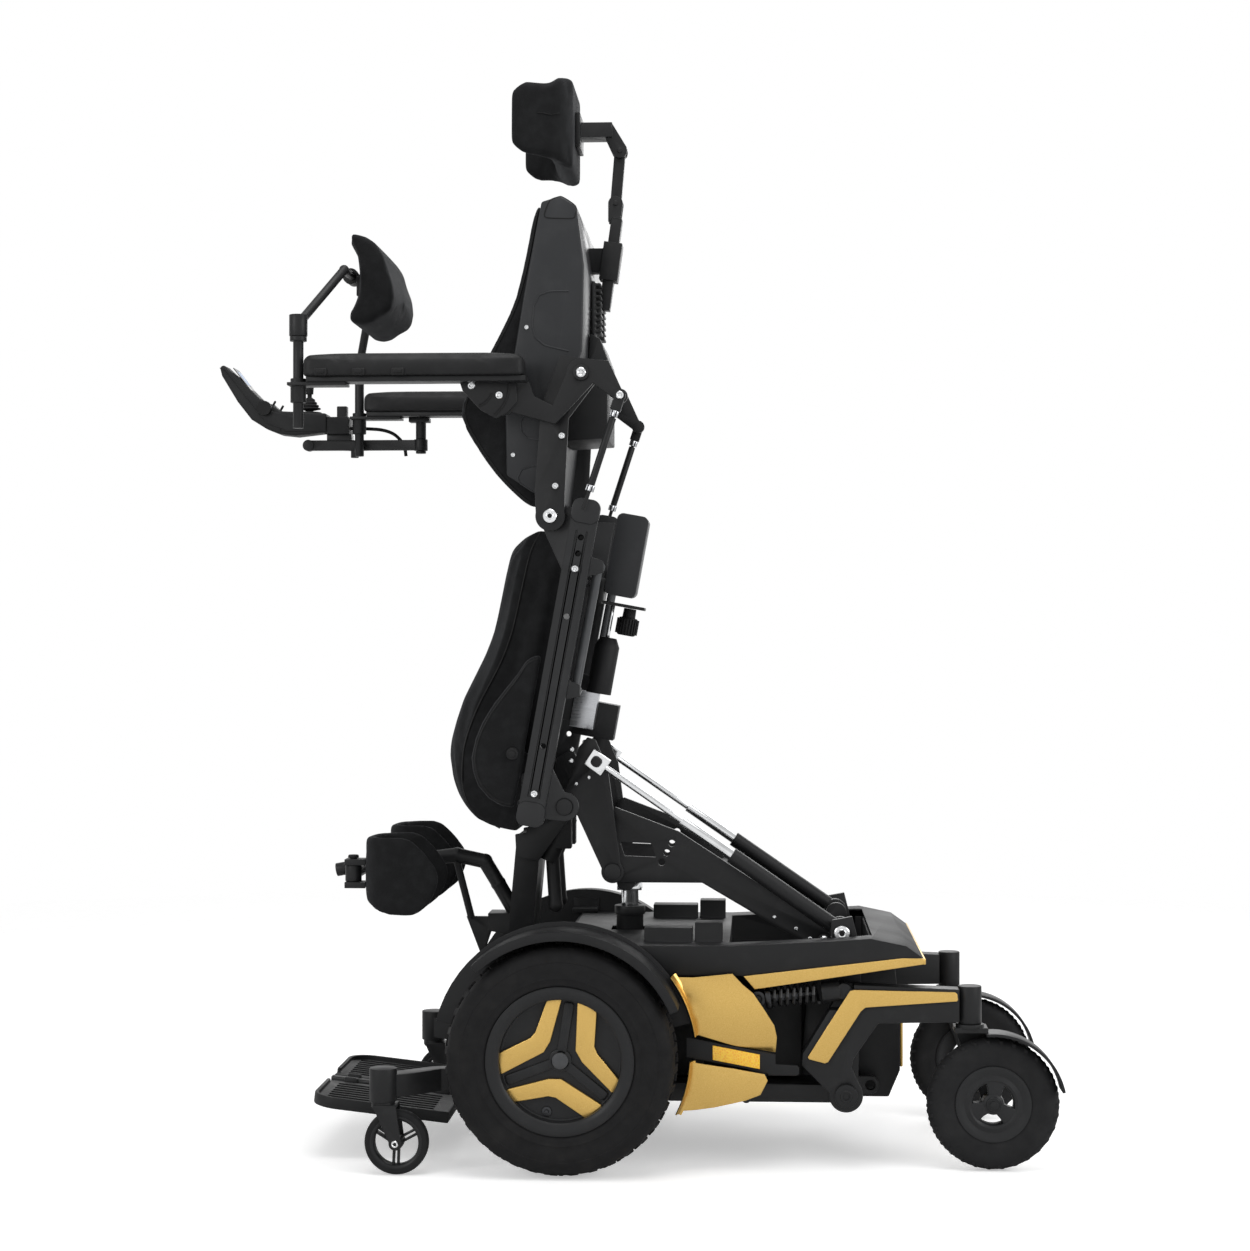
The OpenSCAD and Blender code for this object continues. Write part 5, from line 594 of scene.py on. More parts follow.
def cushions():
    rail_back = -20.5
    inverse = RAIL_FRAME.inverted()
    seat = solids("seat_cushion")[0]
    bm = puffed(seat, "seat", 6, 6, 2.5, lambda p: (inverse @ p).x > rail_back - 6)
    cushion = placed("seat_cushion_cover", bm, "seat", "cushion_fabric", ["seat_cushion"], 180)
    side_line = [(-26, 34), (-50, -24), (-84, -10), (-106, 8), (-119, 36), (-124, 66), (-126, 94), (-122, 130),
                 (-115, 165), (-103, 202), (-92, 240), (-86, 276), (-84, 305), (-83, 340), (-82, 373), (-81, 400),
                 (-78, 424), (-70, 446)]
    for side, sign in SIDES:
        seeds = [RAIL_FRAME @ Vector((x, sign * 176, z)) for x, z in side_line[1:]]
        seam_on(cushion, f"seat_seam_{side}", seeds, 1.6, "seat", False)

    thighs = [p for p in solids("thigh_pads") if span(p)[1].z > 700 and span(p)[0].y > 0]
    bm = puffed(thighs[0], "thigh", 4, 4, 2.0, lambda p: (inverse @ p).x > -30 or p.y > 252.6)
    pads = pad_pair("thigh_pad", bm, "seat", "cushion_fabric", ["thigh_pads"])
    thigh_line = [(-28, 252), (-40, 247), (-50, 239), (-56, 219), (-68, 196), (-84, 165), (-95, 137), (-101, 110),
                  (-102, 84), (-96, 65), (-86, 45), (-67, 29), (-48, 22), (-30, 23)]
    for side, sign in SIDES:
        seeds = [RAIL_FRAME @ Vector((x, sign * 256, z)) for x, z in thigh_line]
        seam_on(pads[side], f"thigh_seam_{side}", seeds, 1.2, "seat", False)
        knob = joined(rod((0, sign * 255.2, 0), (0, sign * 262, 0), 10, 9, 32, 1.0),
                      rod((0, sign * 262, 0), (0, sign * 266, 0), 5, 5, 24, 0.6))
        piece(f"thigh_knob_{side}", moved(knob, RAIL_FRAME @ Matrix.Translation((-44, 0, 100))), "seat", "soft_black")

    main, *wings = solids("back_cushion")
    if span(main)[1].y < 185 or span(main)[0].y > -185:
        wings.append(main)
        main = [w for w in wings if span(w)[0].y < -180 and span(w)[1].y > 180][0]
        wings.remove(main)
    bm = puffed(main, "back", 6, 5, 2.0, lambda p: p.x > -96)
    back = placed("back_cushion_main", bm, "back", "cushion_fabric", ["back_cushion"], 180)
    wing = [w for w in wings if span(w)[0].y > 0][0]
    bm = puffed(wing, "wing", 5, 4, 1.5, lambda p: p.x > -100 or p.y > 216.8)
    pads = pad_pair("back_wing", bm, "back", "cushion_fabric", [])
    wing_line = [(-26, 481), (-33, 460), (-40, 419), (-48, 381), (-58, 343), (-69, 315), (-85, 283), (-100, 255),
                 (-135, 195), (-143, 176), (-144, 157), (-137, 138), (-125, 119), (-109, 94), (-91, 68), (-72, 47),
                 (-54, 30), (-42, 20)]
    for side, sign in SIDES:
        seeds = [(HIP.x + x + 7, sign * 220, HIP.z + z) for x, z in wing_line]
        seam_on(pads[side], f"wing_seam_{side}", seeds, 1.4, "back", False)

    head = [p for p in solids("headrest_pad") if span(p)[1].z > 1700][0]
    bm = puffed(head, "head", 5, 3, 2.0, lambda p: p.x > -57, 5)
    rest = placed("headrest_cushion", bm, "head", "cushion_fabric", ["headrest_pad"], 180)
    for side, sign in SIDES:
        seeds = [(-62 - 7 * k, sign * 130, 1652 - 0.6 * k + (4 if k > 4 else 0)) for k in range(7)]
        seam_on(rest, f"headrest_seam_{side}", seeds, 1.0, "head", False, 0.1)
    bracket = [p for p in solids("headrest_pad") if span(p)[1].z < 1700][0]
    placed("headrest_bracket", rounded_edges(bracket, 1.0), "head", "frame_black")

    arm = solids("armrest_pad_right")[0]
    bm = puffed(arm, "arm", 4, 3.5, 1.5, lambda p: p.z < 1217)
    pads = pad_pair("armrest_cushion", bm, "arm_{}", "pad_vinyl", ["armrest_pad_{}"])

    chest, cradle = solids("chest_pad")[:2]
    if span(chest)[1].z < span(cradle)[1].z:
        chest, cradle = cradle, chest
    bm = puffed(chest, "chest", 4, 2, 5.0, lambda p: p.x < -402 and 1370 < p.z < 1425 and abs(p.y) < 60, 12)
    pad = placed("chest_cushion", bm, "chest", "cushion_fabric", ["chest_pad"], 180)
    placed("chest_cradle", rounded_edges(cradle, 1.0), "chest", "frame_black")

    knee = [p for p in solids("knee_pad_right")]
    cup = max(knee, key=lambda p: (span(p)[1] - span(p)[0]).length)
    bm = puffed(cup, "knee", 4, 3, 1.0, lambda p: p.x < -378 and abs(p.z - 442) < 28, 10)
    pads = pad_pair("knee_cushion", bm, "knee_{}", "cushion_fabric", ["knee_pad_{}"])
    for side, sign in SIDES:
        clamps = [p for p in solids(f"knee_pad_{side}") if (span(p)[1] - span(p)[0]).length < 70]
        placed(f"knee_clamp_{side}", joined(*[rounded_edges(p, 1.0) for p in clamps]), f"knee_{side}", "frame_black")
        knob = rod((KNEE_BAR.x, sign * KNEE_BAR.y, 466.4), (KNEE_BAR.x, sign * KNEE_BAR.y, 471), 9, 8, 24, 1)
        piece(f"knee_knob_{side}", knob, "legrest", "soft_black")


# --- Wheels ---
VEE_TURN = math.radians(8.9)


def around(count, start=0.0):
    return [start + k * 2 * math.pi / count for k in range(count)]


def drive_tyre():
    """Pneumatic tyre with two rows of slanted shoulder lugs and rings on the side wall."""
    r = AXLE.z
    half = [(113, 0), (113, 30), (116, 34.2), (120, 35.2), (124, 35.6), (126, 36.6), (128, 35.8), (136, 37.4),
            (146, 38), (150, 37.4), (151, 38), (156, 37), (163, 34), (168, 29.5), (172, 22), (r - 4.2, 12), (r - 4, 0)]
    profile = half + [(a, -b) for a, b in reversed(half[1:-1])]
    body = turned(profile, 96, True)
    parts = [body]
    for sign in SIDES:
        s = sign[1]
        for angle in around(36, 0.06 if s > 0 else 0.15):
            lug = brick((-6.2, 1.5, -9), (6.2, 26, 4.2), 1.0, 1)
            for vert in lug.verts:
                vert.co.z -= 0.013 * max(0, vert.co.y - 6) ** 2 * (1.4 if vert.co.z > 0 else 1)
                vert.co.x += 0.22 * vert.co.y
            if s < 0:
                bmesh.ops.scale(lug, vec=(1, -1, 1), verts=lug.verts)
                bmesh.ops.reverse_faces(lug, faces=lug.faces)
            parts.append(moved(lug, Matrix.Rotation(angle, 4, "Y") @ Matrix.Translation((0, 0, r - 4.3))))
    for angle in around(48):
        knob = brick((-3.6, -3, -4), (3.6, 3, 4), 0.8, 1)
        parts.append(moved(knob, Matrix.Rotation(angle, 4, "Y") @ Matrix.Translation((0, 0, r - 4.1))))
    return moved(joined(*parts), Matrix.Translation(AXLE))


def arc(radius, start, end, steps):
    return [(radius * math.cos(math.radians(start + (end - start) * k / steps)),
             radius * math.sin(math.radians(start + (end - start) * k / steps))) for k in range(steps + 1)]


def drive_hub():
    """Wheel disc with a bead ring, a dished centre, and a raised three armed star."""
    rim = turned([(112.7, -30), (112.7, 31.5), (109, 33), (98, 31.5), (93, 27), (91.6, 12), (91, 11), (88, 10.5),
                  (44, 12), (0.5, 12), (0.5, -32), (30, -32), (34, -8), (88, -8), (93, -30)], 96)
    parts = [rim]
    for k in range(3):
        arm = plate([(-7.5, 0), (-7.5, 86), (-5, 88.6), (5, 88.6), (7.5, 86), (7.5, 0)], 10, 16.4, 2.2)
        parts.append(moved(arm, Matrix.Rotation(VEE_TURN + 2 * math.pi * k / 3, 4, "Y")))
    parts.append(turned([(0.5, 10), (0.5, 16.4), (14, 16.4), (17, 15), (18, 10)], 64))
    ring = turned([(89, 11), (89, 13.4), (91.4, 14.2), (93.2, 13.4), (93.2, 11)], 96)
    parts.append(ring)
    return moved(joined(*parts), Matrix.Translation(AXLE))


def hub_vees():
    """Three gold vees that leave a three armed star between them."""
    outline = [(-17.9, 93), (0.5, 93.4), (2, 91), (-15, 29), (-24.8, 12.4), (-88.5, -21), (-91, -19.5), (-94.2, 8), (-92.6, 10.8),
               (-45, 34), (-37.7, 42.6), (-20.2, 91.6)]
    parts = [moved(plate(outline, 12.5, 19.6, 1.6, 3), Matrix.Rotation(2 * math.pi * k / 3, 4, "Y")) for k in range(3)]
    return moved(joined(*parts), Matrix.Translation(AXLE))


def hub_stud():
    """Valve stud in the dish under the axle."""
    stud = joined(rod((0, 11, 0), (0, 13.4, 0), 8.2, 7.6, 32, 0.9), rod((0, 13.4, 0), (0, 17, 0), 3.6, 3, 20, 0.5))
    return moved(stud, Matrix.Translation(AXLE + Vector((-21, 0, -78))))


def rear_tyre():
    r = 102
    half = [(58, 0), (58, 13), (66, 15.6), (70, 15.2), (78, 17), (86, 17.4), (93, 15), (98, 10.5), (r - 1.3, 4), (r - 1.1, 0)]
    body = turned(half + [(a, -b) for a, b in reversed(half[1:-1])], 96, True)
    parts = [body]
    for s in (LEFT, RIGHT):
        for angle in around(30, 0.05 if s > 0 else 0.155):
            lug = brick((-2.6, 1.5, -3.5), (2.6, 15, 1.3), 0.6, 1)
            for vert in lug.verts:
                vert.co.z -= 0.034 * max(0, vert.co.y - 3) ** 2
                vert.co.x += 0.5 * vert.co.y
            if s < 0:
                bmesh.ops.scale(lug, vec=(1, -1, 1), verts=lug.verts)
                bmesh.ops.reverse_faces(lug, faces=lug.faces)
            parts.append(moved(lug, Matrix.Rotation(angle, 4, "Y") @ Matrix.Translation((0, 0, r - 1.4))))
    return moved(joined(*parts), Matrix.Translation(REAR_WHEEL))


def rear_hub():
    """Cast wheel that is nearly closed: three small windows between broad arms, and a round cap."""
    w = 15
    ring = turned([(57.9, -w), (57.9, w), (55, w + 0.6), (50, w - 1.5), (44, w - 3.5), (37, w - 1), (33, w - 3), (31, w - 8),
                   (31, 8 - w), (33, 3 - w), (44, 3.5 - w), (50, 1.5 - w), (55, -w - 0.6)], 80, True)
    hub = turned([(6.4, -w - 1), (6.4, w - 2), (9, w + 1.4), (10, w + 1.6), (11, w + 1), (12, w - 1), (16, w - 3), (17, w - 8),
                  (17, 8 - w), (12, 1 - w)], 48, True)
    cap = rod((0, w - 4, 0), (0, w + 1.2, 0), 9.4, 8.8, 40, 0.6)
    parts = [ring, hub, cap]
    for k in range(3):
        arm = plate([(-9, 9), (-11, 20), (-17, 37), (-9, 41), (0, 42), (9, 41), (17, 37), (11, 20), (9, 9)], 8 - w, w - 2.4, 2.4, 3)
        parts.append(moved(arm, Matrix.Rotation(2 * math.pi * k / 3 + 0.12, 4, "Y")))
    return moved(joined(*parts), Matrix.Translation(REAR_WHEEL))


def star_wheel(r_rim, r_hub, w, at):
    """A cast wheel: rim ring, hub and three pairs of thin spokes."""
    ring = turned([(r_rim, -w), (r_rim, w), (r_rim - 2, w + 0.4), (r_rim - 5, w - 1), (r_rim - 6, w - 3), (r_rim - 6, 3 - w),
                   (r_rim - 5, 1 - w), (r_rim - 2, -w - 0.4)], 80, True)
    hub = turned([(6.4, -w - 1), (6.4, w + 1), (r_hub - 3, w + 2.4), (r_hub, w + 1), (r_hub + 2, w - 4),
                  (r_hub + 2, 4 - w), (r_hub, -w - 1), (r_hub - 3, -w - 2.4)], 48, True)
    parts = [ring, hub]
    reach = r_rim - 3
    for k in range(3):
        for side in (-3.6, 3.6):
            spoke = plate([(side - 1.5, r_hub - 2), (side - 1.5, reach), (side + 1.5, reach), (side + 1.5, r_hub - 2)], 4 - w, w - 4, 0.6)
            parts.append(moved(spoke, Matrix.Rotation(math.radians(62 + 120 * k), 4, "Y")))
    return moved(joined(*parts), Matrix.Translation(at))


def wheels():
    both("drive_tyre_rubber", drive_tyre, "drive_wheel_{}", "tyre_black", 38, ["drive_tyre_{}"])
    both("drive_hub_disc", drive_hub, "drive_wheel_{}", "hub_paint", 35, ["drive_rim_{}"])
    both("drive_hub_vees", hub_vees, "drive_wheel_{}", "gold_panel", 35)
    both("drive_hub_stud", hub_stud, "drive_wheel_{}", "dark_steel", 35)
    both("rear_tyre_rubber", rear_tyre, "rear_roller_{}", "roller_black", 38, ["rear_wheel_{}"])
    both("rear_wheel_disc", rear_hub, "rear_roller_{}", "hub_paint", 35)
    front = [(40, -11), (44, -11.4), (47.5, -9.5), (48.8, -6), (49, 0), (48.8, 6), (47.5, 9.5), (44, 11.4), (40, 11)]
    both("front_tyre_rubber", lambda: moved(turned(front, 64, True), Matrix.Translation(FRONT_WHEEL)),
         "front_roller_{}", "roller_black", 40, ["front_wheel_{}"])
    both("front_wheel_star", lambda: star_wheel(39.9, 9, 11, FRONT_WHEEL), "front_roller_{}", "hub_paint", 35)


# --- Painted panels ---
def crowned_panel(outline, y_face, swell=None, cell=12, width=1.4):
    """A painted panel: its outline cut into small squares and swelled outwards by a rule, then given its thickness."""
    bm = bmesh.new()
    bm.faces.new([bm.verts.new((x, y_face, z)) for x, z in outline])
    if swell:
        for axis in (0, 2):
            values = [p[axis // 2] for p in outline]
            for k in range(int(min(values) // cell) + 1, int(max(values) // cell) + 1):
                normal = Vector((axis == 0, 0, axis == 2))
                bmesh.ops.bisect_plane(bm, geom=bm.verts[:] + bm.edges[:] + bm.faces[:], plane_co=normal * k * cell,
                                       plane_no=normal, dist=0.01)
        for vert in bm.verts:
            vert.co.y += swell(vert.co.x, vert.co.z)
    made = bmesh.ops.extrude_face_region(bm, geom=bm.faces[:])
    bmesh.ops.translate(bm, vec=(0, -4.6, 0), verts=[v for v in made["geom"] if isinstance(v, bmesh.types.BMVert)])
    outward(bm)
    return soften(bm, width, 3, 60)


def lip(start, sweep, inward):
    """A rolled gold edge that follows the wheel guard over a part of a turn, in degrees above the axle's level."""
    bm = bmesh.new()
    row = [(214, 240), (210, 242), (207.6, 246.5), (206.6, 253), (206.6, 261), (207.8, 262.2), (209, 261), (209.2, 253.5),
           (210.4, 248), (212.6, 244.6), (216, 243)]
    low = math.radians(start)
    verts = [bm.verts.new(((r - inward) * math.cos(low), y, (r - inward) * math.sin(low))) for r, y in row]
    edges = [bm.edges.new(pair) for pair in zip(verts, verts[1:] + verts[:1])]
    bmesh.ops.spin(bm, geom=verts + edges, cent=(0, 0, 0), axis=(0, -1, 0), angle=math.radians(sweep), steps=14,
                   use_merge=False, use_normal_flip=False, use_duplicate=False)
    bmesh.ops.holes_fill(bm, edges=[e for e in bm.edges if len(e.link_faces) < 2], sides=0)
    return moved(outward(bm), Matrix.Translation(AXLE - Vector((0, AXLE.y, 0))))


AX = AXLE.x


def guard_skin():
    """Closed inner side of a wheel guard, which shows as a dome over the far tyre."""
    row = arc(203, 14, 166, 26) + arc(118, 166, 14, 20)
    return plate([(AXLE.x + x, AXLE.z + z) for x, z in row], 241.2, 243.8, 0.8)


def panels():
    def seam_up(x):
        return 206 - 0.185 * (x - AX - 188)

    def seam_low(x):
        return 171 - 0.185 * (x - AX - 193)

    def on_lip(r, *angles):
        return [(AX + r * math.cos(math.radians(a)), AXLE.z + r * math.sin(math.radians(a))) for a in angles]

    x0 = AX + 186
    upper = on_lip(206.5, 9, 14, 20, 26, 32, 35) + [
        (AX + 200, 296), (AX + 259, 302), (AX + 275, 286), (AX + 291, 273), (AX + 310, 245), (AX + 323, 224),
        (AX + 327, 205), (AX + 325, seam_up(AX + 325)), (AX + 260, seam_up(AX + 260))]
    lower = [(AX + 262, seam_low(AX + 262)), (AX + 308, seam_low(AX + 308)), (AX + 313, 140), (AX + 302, 118), (AX + 279, 109),
             (AX + 232, 98), (AX + 200, 93)] + on_lip(196.5, -26, -20, -14, -8, -3)
    band = [(x0 + 2, seam_up(x0) - 1.6), (AX + 325, seam_up(AX + 325) - 1.6), (AX + 325, 164), (AX + 358, 162.5),
            (AX + 361, 159), (AX + 361, 150), (AX + 357, 147), (AX + 314, 147), (AX + 313, seam_low(AX + 313) + 1.6),
            (x0 + 2, seam_low(x0) + 1.6)]
    strip = [(AX + 276, 297.5), (AX + 518, 326.6), (AX + 550, 326.8), (AX + 552.6, 322.5), (AX + 549.6, 317.6),
             (AX + 293, 277.6)]
    def upper_swell(x, z):
        reach = 5.5 + 7 * min(1, max(0, x - AX - 178) / 50)
        return reach * (1 - ((z - 248) / 58) ** 2) - 7 * (max(0, x - AX - 245) / 82) ** 2

    def lower_swell(x, z):
        reach = 5 + 6 * min(1, max(0, x - AX - 178) / 50)
        return reach * (1 - ((z - 146) / 62) ** 2) - 6 * (max(0, x - AX - 230) / 84) ** 2

    both("gold_panel_upper", lambda: crowned_panel(upper, 240, upper_swell), "chassis", "gold_panel", 50,
         ["side_panels"])
    both("gold_panel_lower", lambda: crowned_panel(lower, 240, lower_swell), "chassis", "gold_panel", 50)
    both("dark_band", lambda: crowned_panel(band, 240.6), "chassis", "cover_black", 50)
    both("deck_strip", lambda: crowned_panel(strip, 236, width=0.9), "chassis", "gold_panel", 50)
    piece("tail_rim", brick((AX + 549.5, -235.5, 317.2), (AX + 554, 235.5, 326.4), 1.6, 3), "chassis", "gold_panel")
    piece("tail_panel", brick((AX + 523.2, -80, 134), (AX + 528, 80, 208), 2.2, 3), "chassis", "gold_panel")
    both("guard_skin", guard_skin, "chassis", "cover_black", 50)
    for name, start, sweep, inward in (("panel_lip", 8.5, 27.5, 3), ("panel_lip_low", -27, 24.5, 13)):
        both(name, lambda: lip(start, sweep, inward), "chassis", "gold_panel", 50)
    outline = [(383.5, 275.5), (390, 277), (543, 274.5), (546.5, 272), (548, 263), (546, 260.5), (407, 250), (400, 244),
               (350, 166), (345, 164), (321, 170), (318.5, 173)]
    arm_face = max(seated("swing_{}", x, z, 226) for x, z in ((470, 264), (390, 240), (345, 180)))
    both("swing_insert", lambda: crowned_panel(outline, arm_face + 1.0, width=0.9), "swing_{}", "gold_panel", 50)


# --- Fasteners ---
SKINS = {}


def seated(body, x, z, y):
    """The height across the chair, nearest to y, at which a screw meets the solids of its body."""
    body = body.format("right")
    if body not in SKINS:
        bm = bmesh.new()
        for node in frame["nodes"].values():
            if node["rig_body"] == body:
                bm.from_mesh(node.data)
        SKINS[body] = BVHTree.FromBMesh(bm)
        bm.free()
    start, hits = Vector((x, y + 45, z)) * MM, []
    while True:
        at, normal, _, _ = SKINS[body].ray_cast(start, Vector((0, -1, 0)), 0.12)
        if not at:
            break
        if normal.y > 0.3:
            hits.append(at.y / MM)
        start = at - Vector((0, 2e-5, 0))
    return min(hits, key=lambda hit: abs(hit - y), default=y)


def socket_screw(x, z, y, r, height=3.2, sign=RIGHT):
    head = turned([(0.2, -0.2), (r * 0.45, -0.2), (r * 0.45, height * 0.35), (r * 0.5, height * 0.8), (r * 0.62, height),
                   (r * 0.86, height * 0.92), (r, height * 0.6), (r, -0.2)], 24)
    cap = moved(rod((0, -0.4, 0), (0, height * 0.35, 0), r * 0.46, None, 6), Matrix.Identity(4))
    bm = moved(joined(head, cap), Matrix.Translation((x, y, z)))
    return bm if sign == RIGHT else mirrored(bm)


def washer_pin(x, z, y, r, height):
    return moved(turned([(r * 0.32, height - 2.2), (r * 0.34, height), (r * 0.5, height + 0.4), (r * 0.56, height - 0.6),
                         (r * 0.9, height - 0.4), (r, height - 1.2), (r, -0.3), (0.3, -0.3), (0.3, height - 2.2)], 32),
                 Matrix.Translation((x, y, z)))


def fasteners():
    def both_screws(name, spots, body, finish="bright_steel", height=3.0):
        both(name, lambda: joined(*[socket_screw(x, z, seated(body, x, z, y), r, height) for x, z, y, r in spots]), body, finish, 35)

    rail_bolts = [on_rail(0, 256.6, u) for u in (396, 46)]
    both_screws("rail_bolts", [(p.x, p.z, 256.1 + 4, 5.4) for p in rail_bolts], "seat")
    both("hip_pin_cap", lambda: washer_pin(HIP.x, HIP.z, 255, 10.5, 3.4), "back", "bright_steel", 35)
    both_screws("back_bolts", [(HIP.x + 18, HIP.z + 123, 253, 5.0), (HIP.x + 8, HIP.z + 46, 253, 5.0)], "back")
    both_screws("shell_screws", [(-114.4, 1296.4, 225, 3.6), (-129.1, 1199.3, 225, 3.6), (-135.3, 1099, 225, 3.6)], "back",
                height=2.2)
    both_screws("armrest_pivot_bolt", [(ARM_PIVOT.x, ARM_PIVOT.z, 272.8, 7.5)], "back")
    both_screws("lever_bolt", [(33.5, 1185, 283, 6.0)], "arm_{}")
    both_screws("lift_bolts", [(LIFT_PIVOT.x, LIFT_PIVOT.z, 127, 7), (LIFT_PIVOT.x - 22, LIFT_PIVOT.z + 2, 124, 4),
                               (LIFT_PIVOT.x - 44, LIFT_PIVOT.z + 18, 124, 3.4), (LIFT_PIVOT.x - 78, LIFT_PIVOT.z + 36, 124, 3)],
                "lift")
    both("tilt_pin_cap", lambda: washer_pin(TILT_PIVOT.x, TILT_PIVOT.z, 187, 12, 2.6), "chassis", "bright_steel", 35)
    both_screws("carrier_bolts", [(-51, 640, 138, 4), (-52, 622, 138, 4), (-24, 596, 138, 3), (-44, 586, 138, 3)],
                "knee_carrier")
    both("swing_cap", lambda: washer_pin(SWING_PIVOT.x, SWING_PIVOT.z, 229.8, 17, 2.4), "chassis", "cover_black", 35)
    both("front_axle_cap", lambda: joined(*[socket_screw(FRONT_WHEEL.x, FRONT_WHEEL.z, 306, 5.5, 3)]),
         "front_swivel_{}", "bright_steel", 35)
    both("strut_caps", lambda: joined(*[rod((x, 208.5, z), (x, 212, z), 8, 7.4, 32, 0.8) for x, z in ((-3.5, 925), (-39.5, 735))]),
         "seat", "bright_steel", 35)
    both("thumb_nuts", lambda: joined(
        *[moved(rod((0, 0, z), (0, 0, z + 9.5), 7.3, None, 6, 0.5),
                Matrix.Translation((-17.5, 276, 1028)) @ Matrix.Rotation(ROD_LEAN, 4, "Y")) for z in (12, ROD_L - 34)]),
        "arm_rod_{}", "steel_grey", 35)


ROD_L = math.hypot(51, 157)
ROD_LEAN = math.atan2(51, 157)


# --- Details on the shell, armrests and joystick ---
def shell():
    """Back shell: a smooth moulding with pressed panels on its sides."""
    parts = solids("back_shell")
    made = placed("back_shell_moulding", rounded_edges(parts[0], 3.0), "back", "shell_grey", ["back_shell"], 45)
    tree = BVHTree.FromPolygons([v.co for v in made.data.vertices], [p.vertices for p in made.data.polygons])

    def on_shell(x, z):
        at = tree.ray_cast(Vector((x, 300, z)) * MM, Vector((0, -1, 0)), 0.2)[0] or tree.find_nearest(Vector((x, 226, z)) * MM)[0]
        return at / MM

    panels_at = [
        [(-49, 1352), (-78, 1352), (-95, 1346), (-103, 1330), (-106, 1300), (-101, 1280), (-86, 1268), (-49, 1259)],
        [(-67, 1170), (-100, 1169), (-116, 1164), (-124, 1150), (-122, 1134), (-112, 1124), (-67, 1117)],
        [(-77, 1082), (-108, 1081), (-122, 1076), (-128, 1064), (-124, 1050), (-112, 1042), (-77, 1036)],
    ]
    for k, row in enumerate(panels_at):
        places = [on_shell(x, z) for x, z in rounded_line(row, 3)]
        both(f"shell_rib_{k}", lambda: tube([(p.x, p.y - 0.3, p.z) for p in places], 1.5, 8), "back", "shell_grey", 60)
    mesh_cap = [(-89, 1466), (-78, 1498), (-62, 1505), (-44, 1500), (-37, 1480), (-40, 1464)]
    places = [on_shell(x, z) for x, z in rounded_line(mesh_cap + mesh_cap[:1], 3)]
    both("shell_cap_edge", lambda: tube([(p.x, p.y - 0.3, p.z) for p in places[:-1]], 1.2, 8, True), "back", "soft_black", 60)


def pad_side():
    """How far out the armrest pad reaches."""
    return max(v.co.y for v in bpy.data.objects["armrest_cushion_right"].data.vertices) / MM


def armrest_details():
    edge = pad_side()
    for x in (-420, -362, -302):
        both(f"pad_clip_{-x}", lambda: joined(brick((x - 10, edge - 9, 1214.6), (x + 10, edge + 2.6, 1225), 2.0, 3),
                                              brick((x - 6, edge, 1217), (x + 6, edge + 4.2, 1222.5), 1.2, 2)),
             "arm_{}", "soft_black")
    quadrant = [(-214, 1212), (-126, 1212), (-124, 1176), (-138, 1161), (-156, 1151), (-180, 1164), (-208, 1194)]
    both("armrest_quadrant", lambda: plate(quadrant, 270, 274, 1.1), "arm_{}", "frame_black")
    both("armrest_bolts", lambda: joined(*[socket_screw(x, z, 274, 6) for x, z in ((-194, 1202), (-151.5, 1186.6))]), "arm_{}",
         "bright_steel", 35)
    for k, (r, start, end) in enumerate(((34, -70, -22), (58, -52, 2))):
        row = [(-194 + r * math.cos(math.radians(a)), 1202 + r * math.sin(math.radians(a)))
               for a in [start + (end - start) * step / 7 for step in range(8)]]
        both(f"quadrant_slot_{k}", lambda: tube([(x, 273.4, z) for x, z in row], 2.4, 8), "arm_{}", "soft_black", 60)


def joystick_details():
    y = 300
    boat = [(-709, 1296), (-702, 1300.4), (-668, 1269), (-638, 1240.5), (-616, 1229.5), (-600, 1217.5), (-574, 1216.4), (-518, 1213.2),
            (-518, 1180.5), (-574, 1174), (-602, 1177), (-624, 1185.5), (-652, 1202.8), (-677, 1234.6), (-705, 1280.4)]
    piece("joystick_boat", plate(boat, y - 24.4, y + 24.4, 5.5, 4), "stick_swing", "cover_black", ["joystick_housing"], 50)
    # Dark strips on the housing's seam lines, in the darkened piping finish: painted shade of the seam grooves.
    for x, z in ((-520, 1181), (-600, 1178)):
        piece(f"joystick_seam_shade_{-x}", brick((x - 0.8, y - 24.9, z + 3), (x + 0.8, y + 24.9, z + 30), 0.3, 1), "stick_swing", "piping_painted_shade")
    for sign in (-1, 1):
        name = "near" if sign < 0 else "far"
        piece(f"console_wheel_{name}", moved(turned([(0.4, 0), (12, 0), (12.8, 1.2), (12.8, 7), (11.5, 8.2), (0.4, 8.2)], 40),
              Matrix.Translation((-627.5, y + (sign * 26.2 if sign > 0 else -34.2), 1222))), "stick_swing", "soft_black")
    screen = brick((-30, -22, 0), (30, 22, 1.6), 0.7, 2)
    face = Matrix.Translation((-667, y, 1270.6)) @ Matrix.Rotation(math.radians(51.8), 4, "Y")
    piece("console_screen", moved(screen, face), "stick_swing", "glass")
    strip = brick((-22, -14, 1.4), (8, 14, 2.0), 0.2, 1)
    piece("console_display", moved(strip, face), "stick_swing", "lit_strip")


# --- Camera at the photograph's viewing angle, and the one free cord ---
def photo_camera():
    camera = bpy.data.cameras.new("photo camera")
    camera.sensor_fit, camera.sensor_width, camera.lens = "HORIZONTAL", 36, 69.088
    camera.clip_end = 50
    holder = bpy.data.objects.new("photo camera", camera)
    holder.location = (0.24777, -3.91802, 0.81056)
    holder.rotation_euler = (math.radians(90 + 0.3801), 0, math.radians(3.2489))
    bpy.context.scene.collection.objects.link(holder)
    bpy.context.scene.camera = holder
    bpy.context.scene.view_settings.view_transform = "Standard"


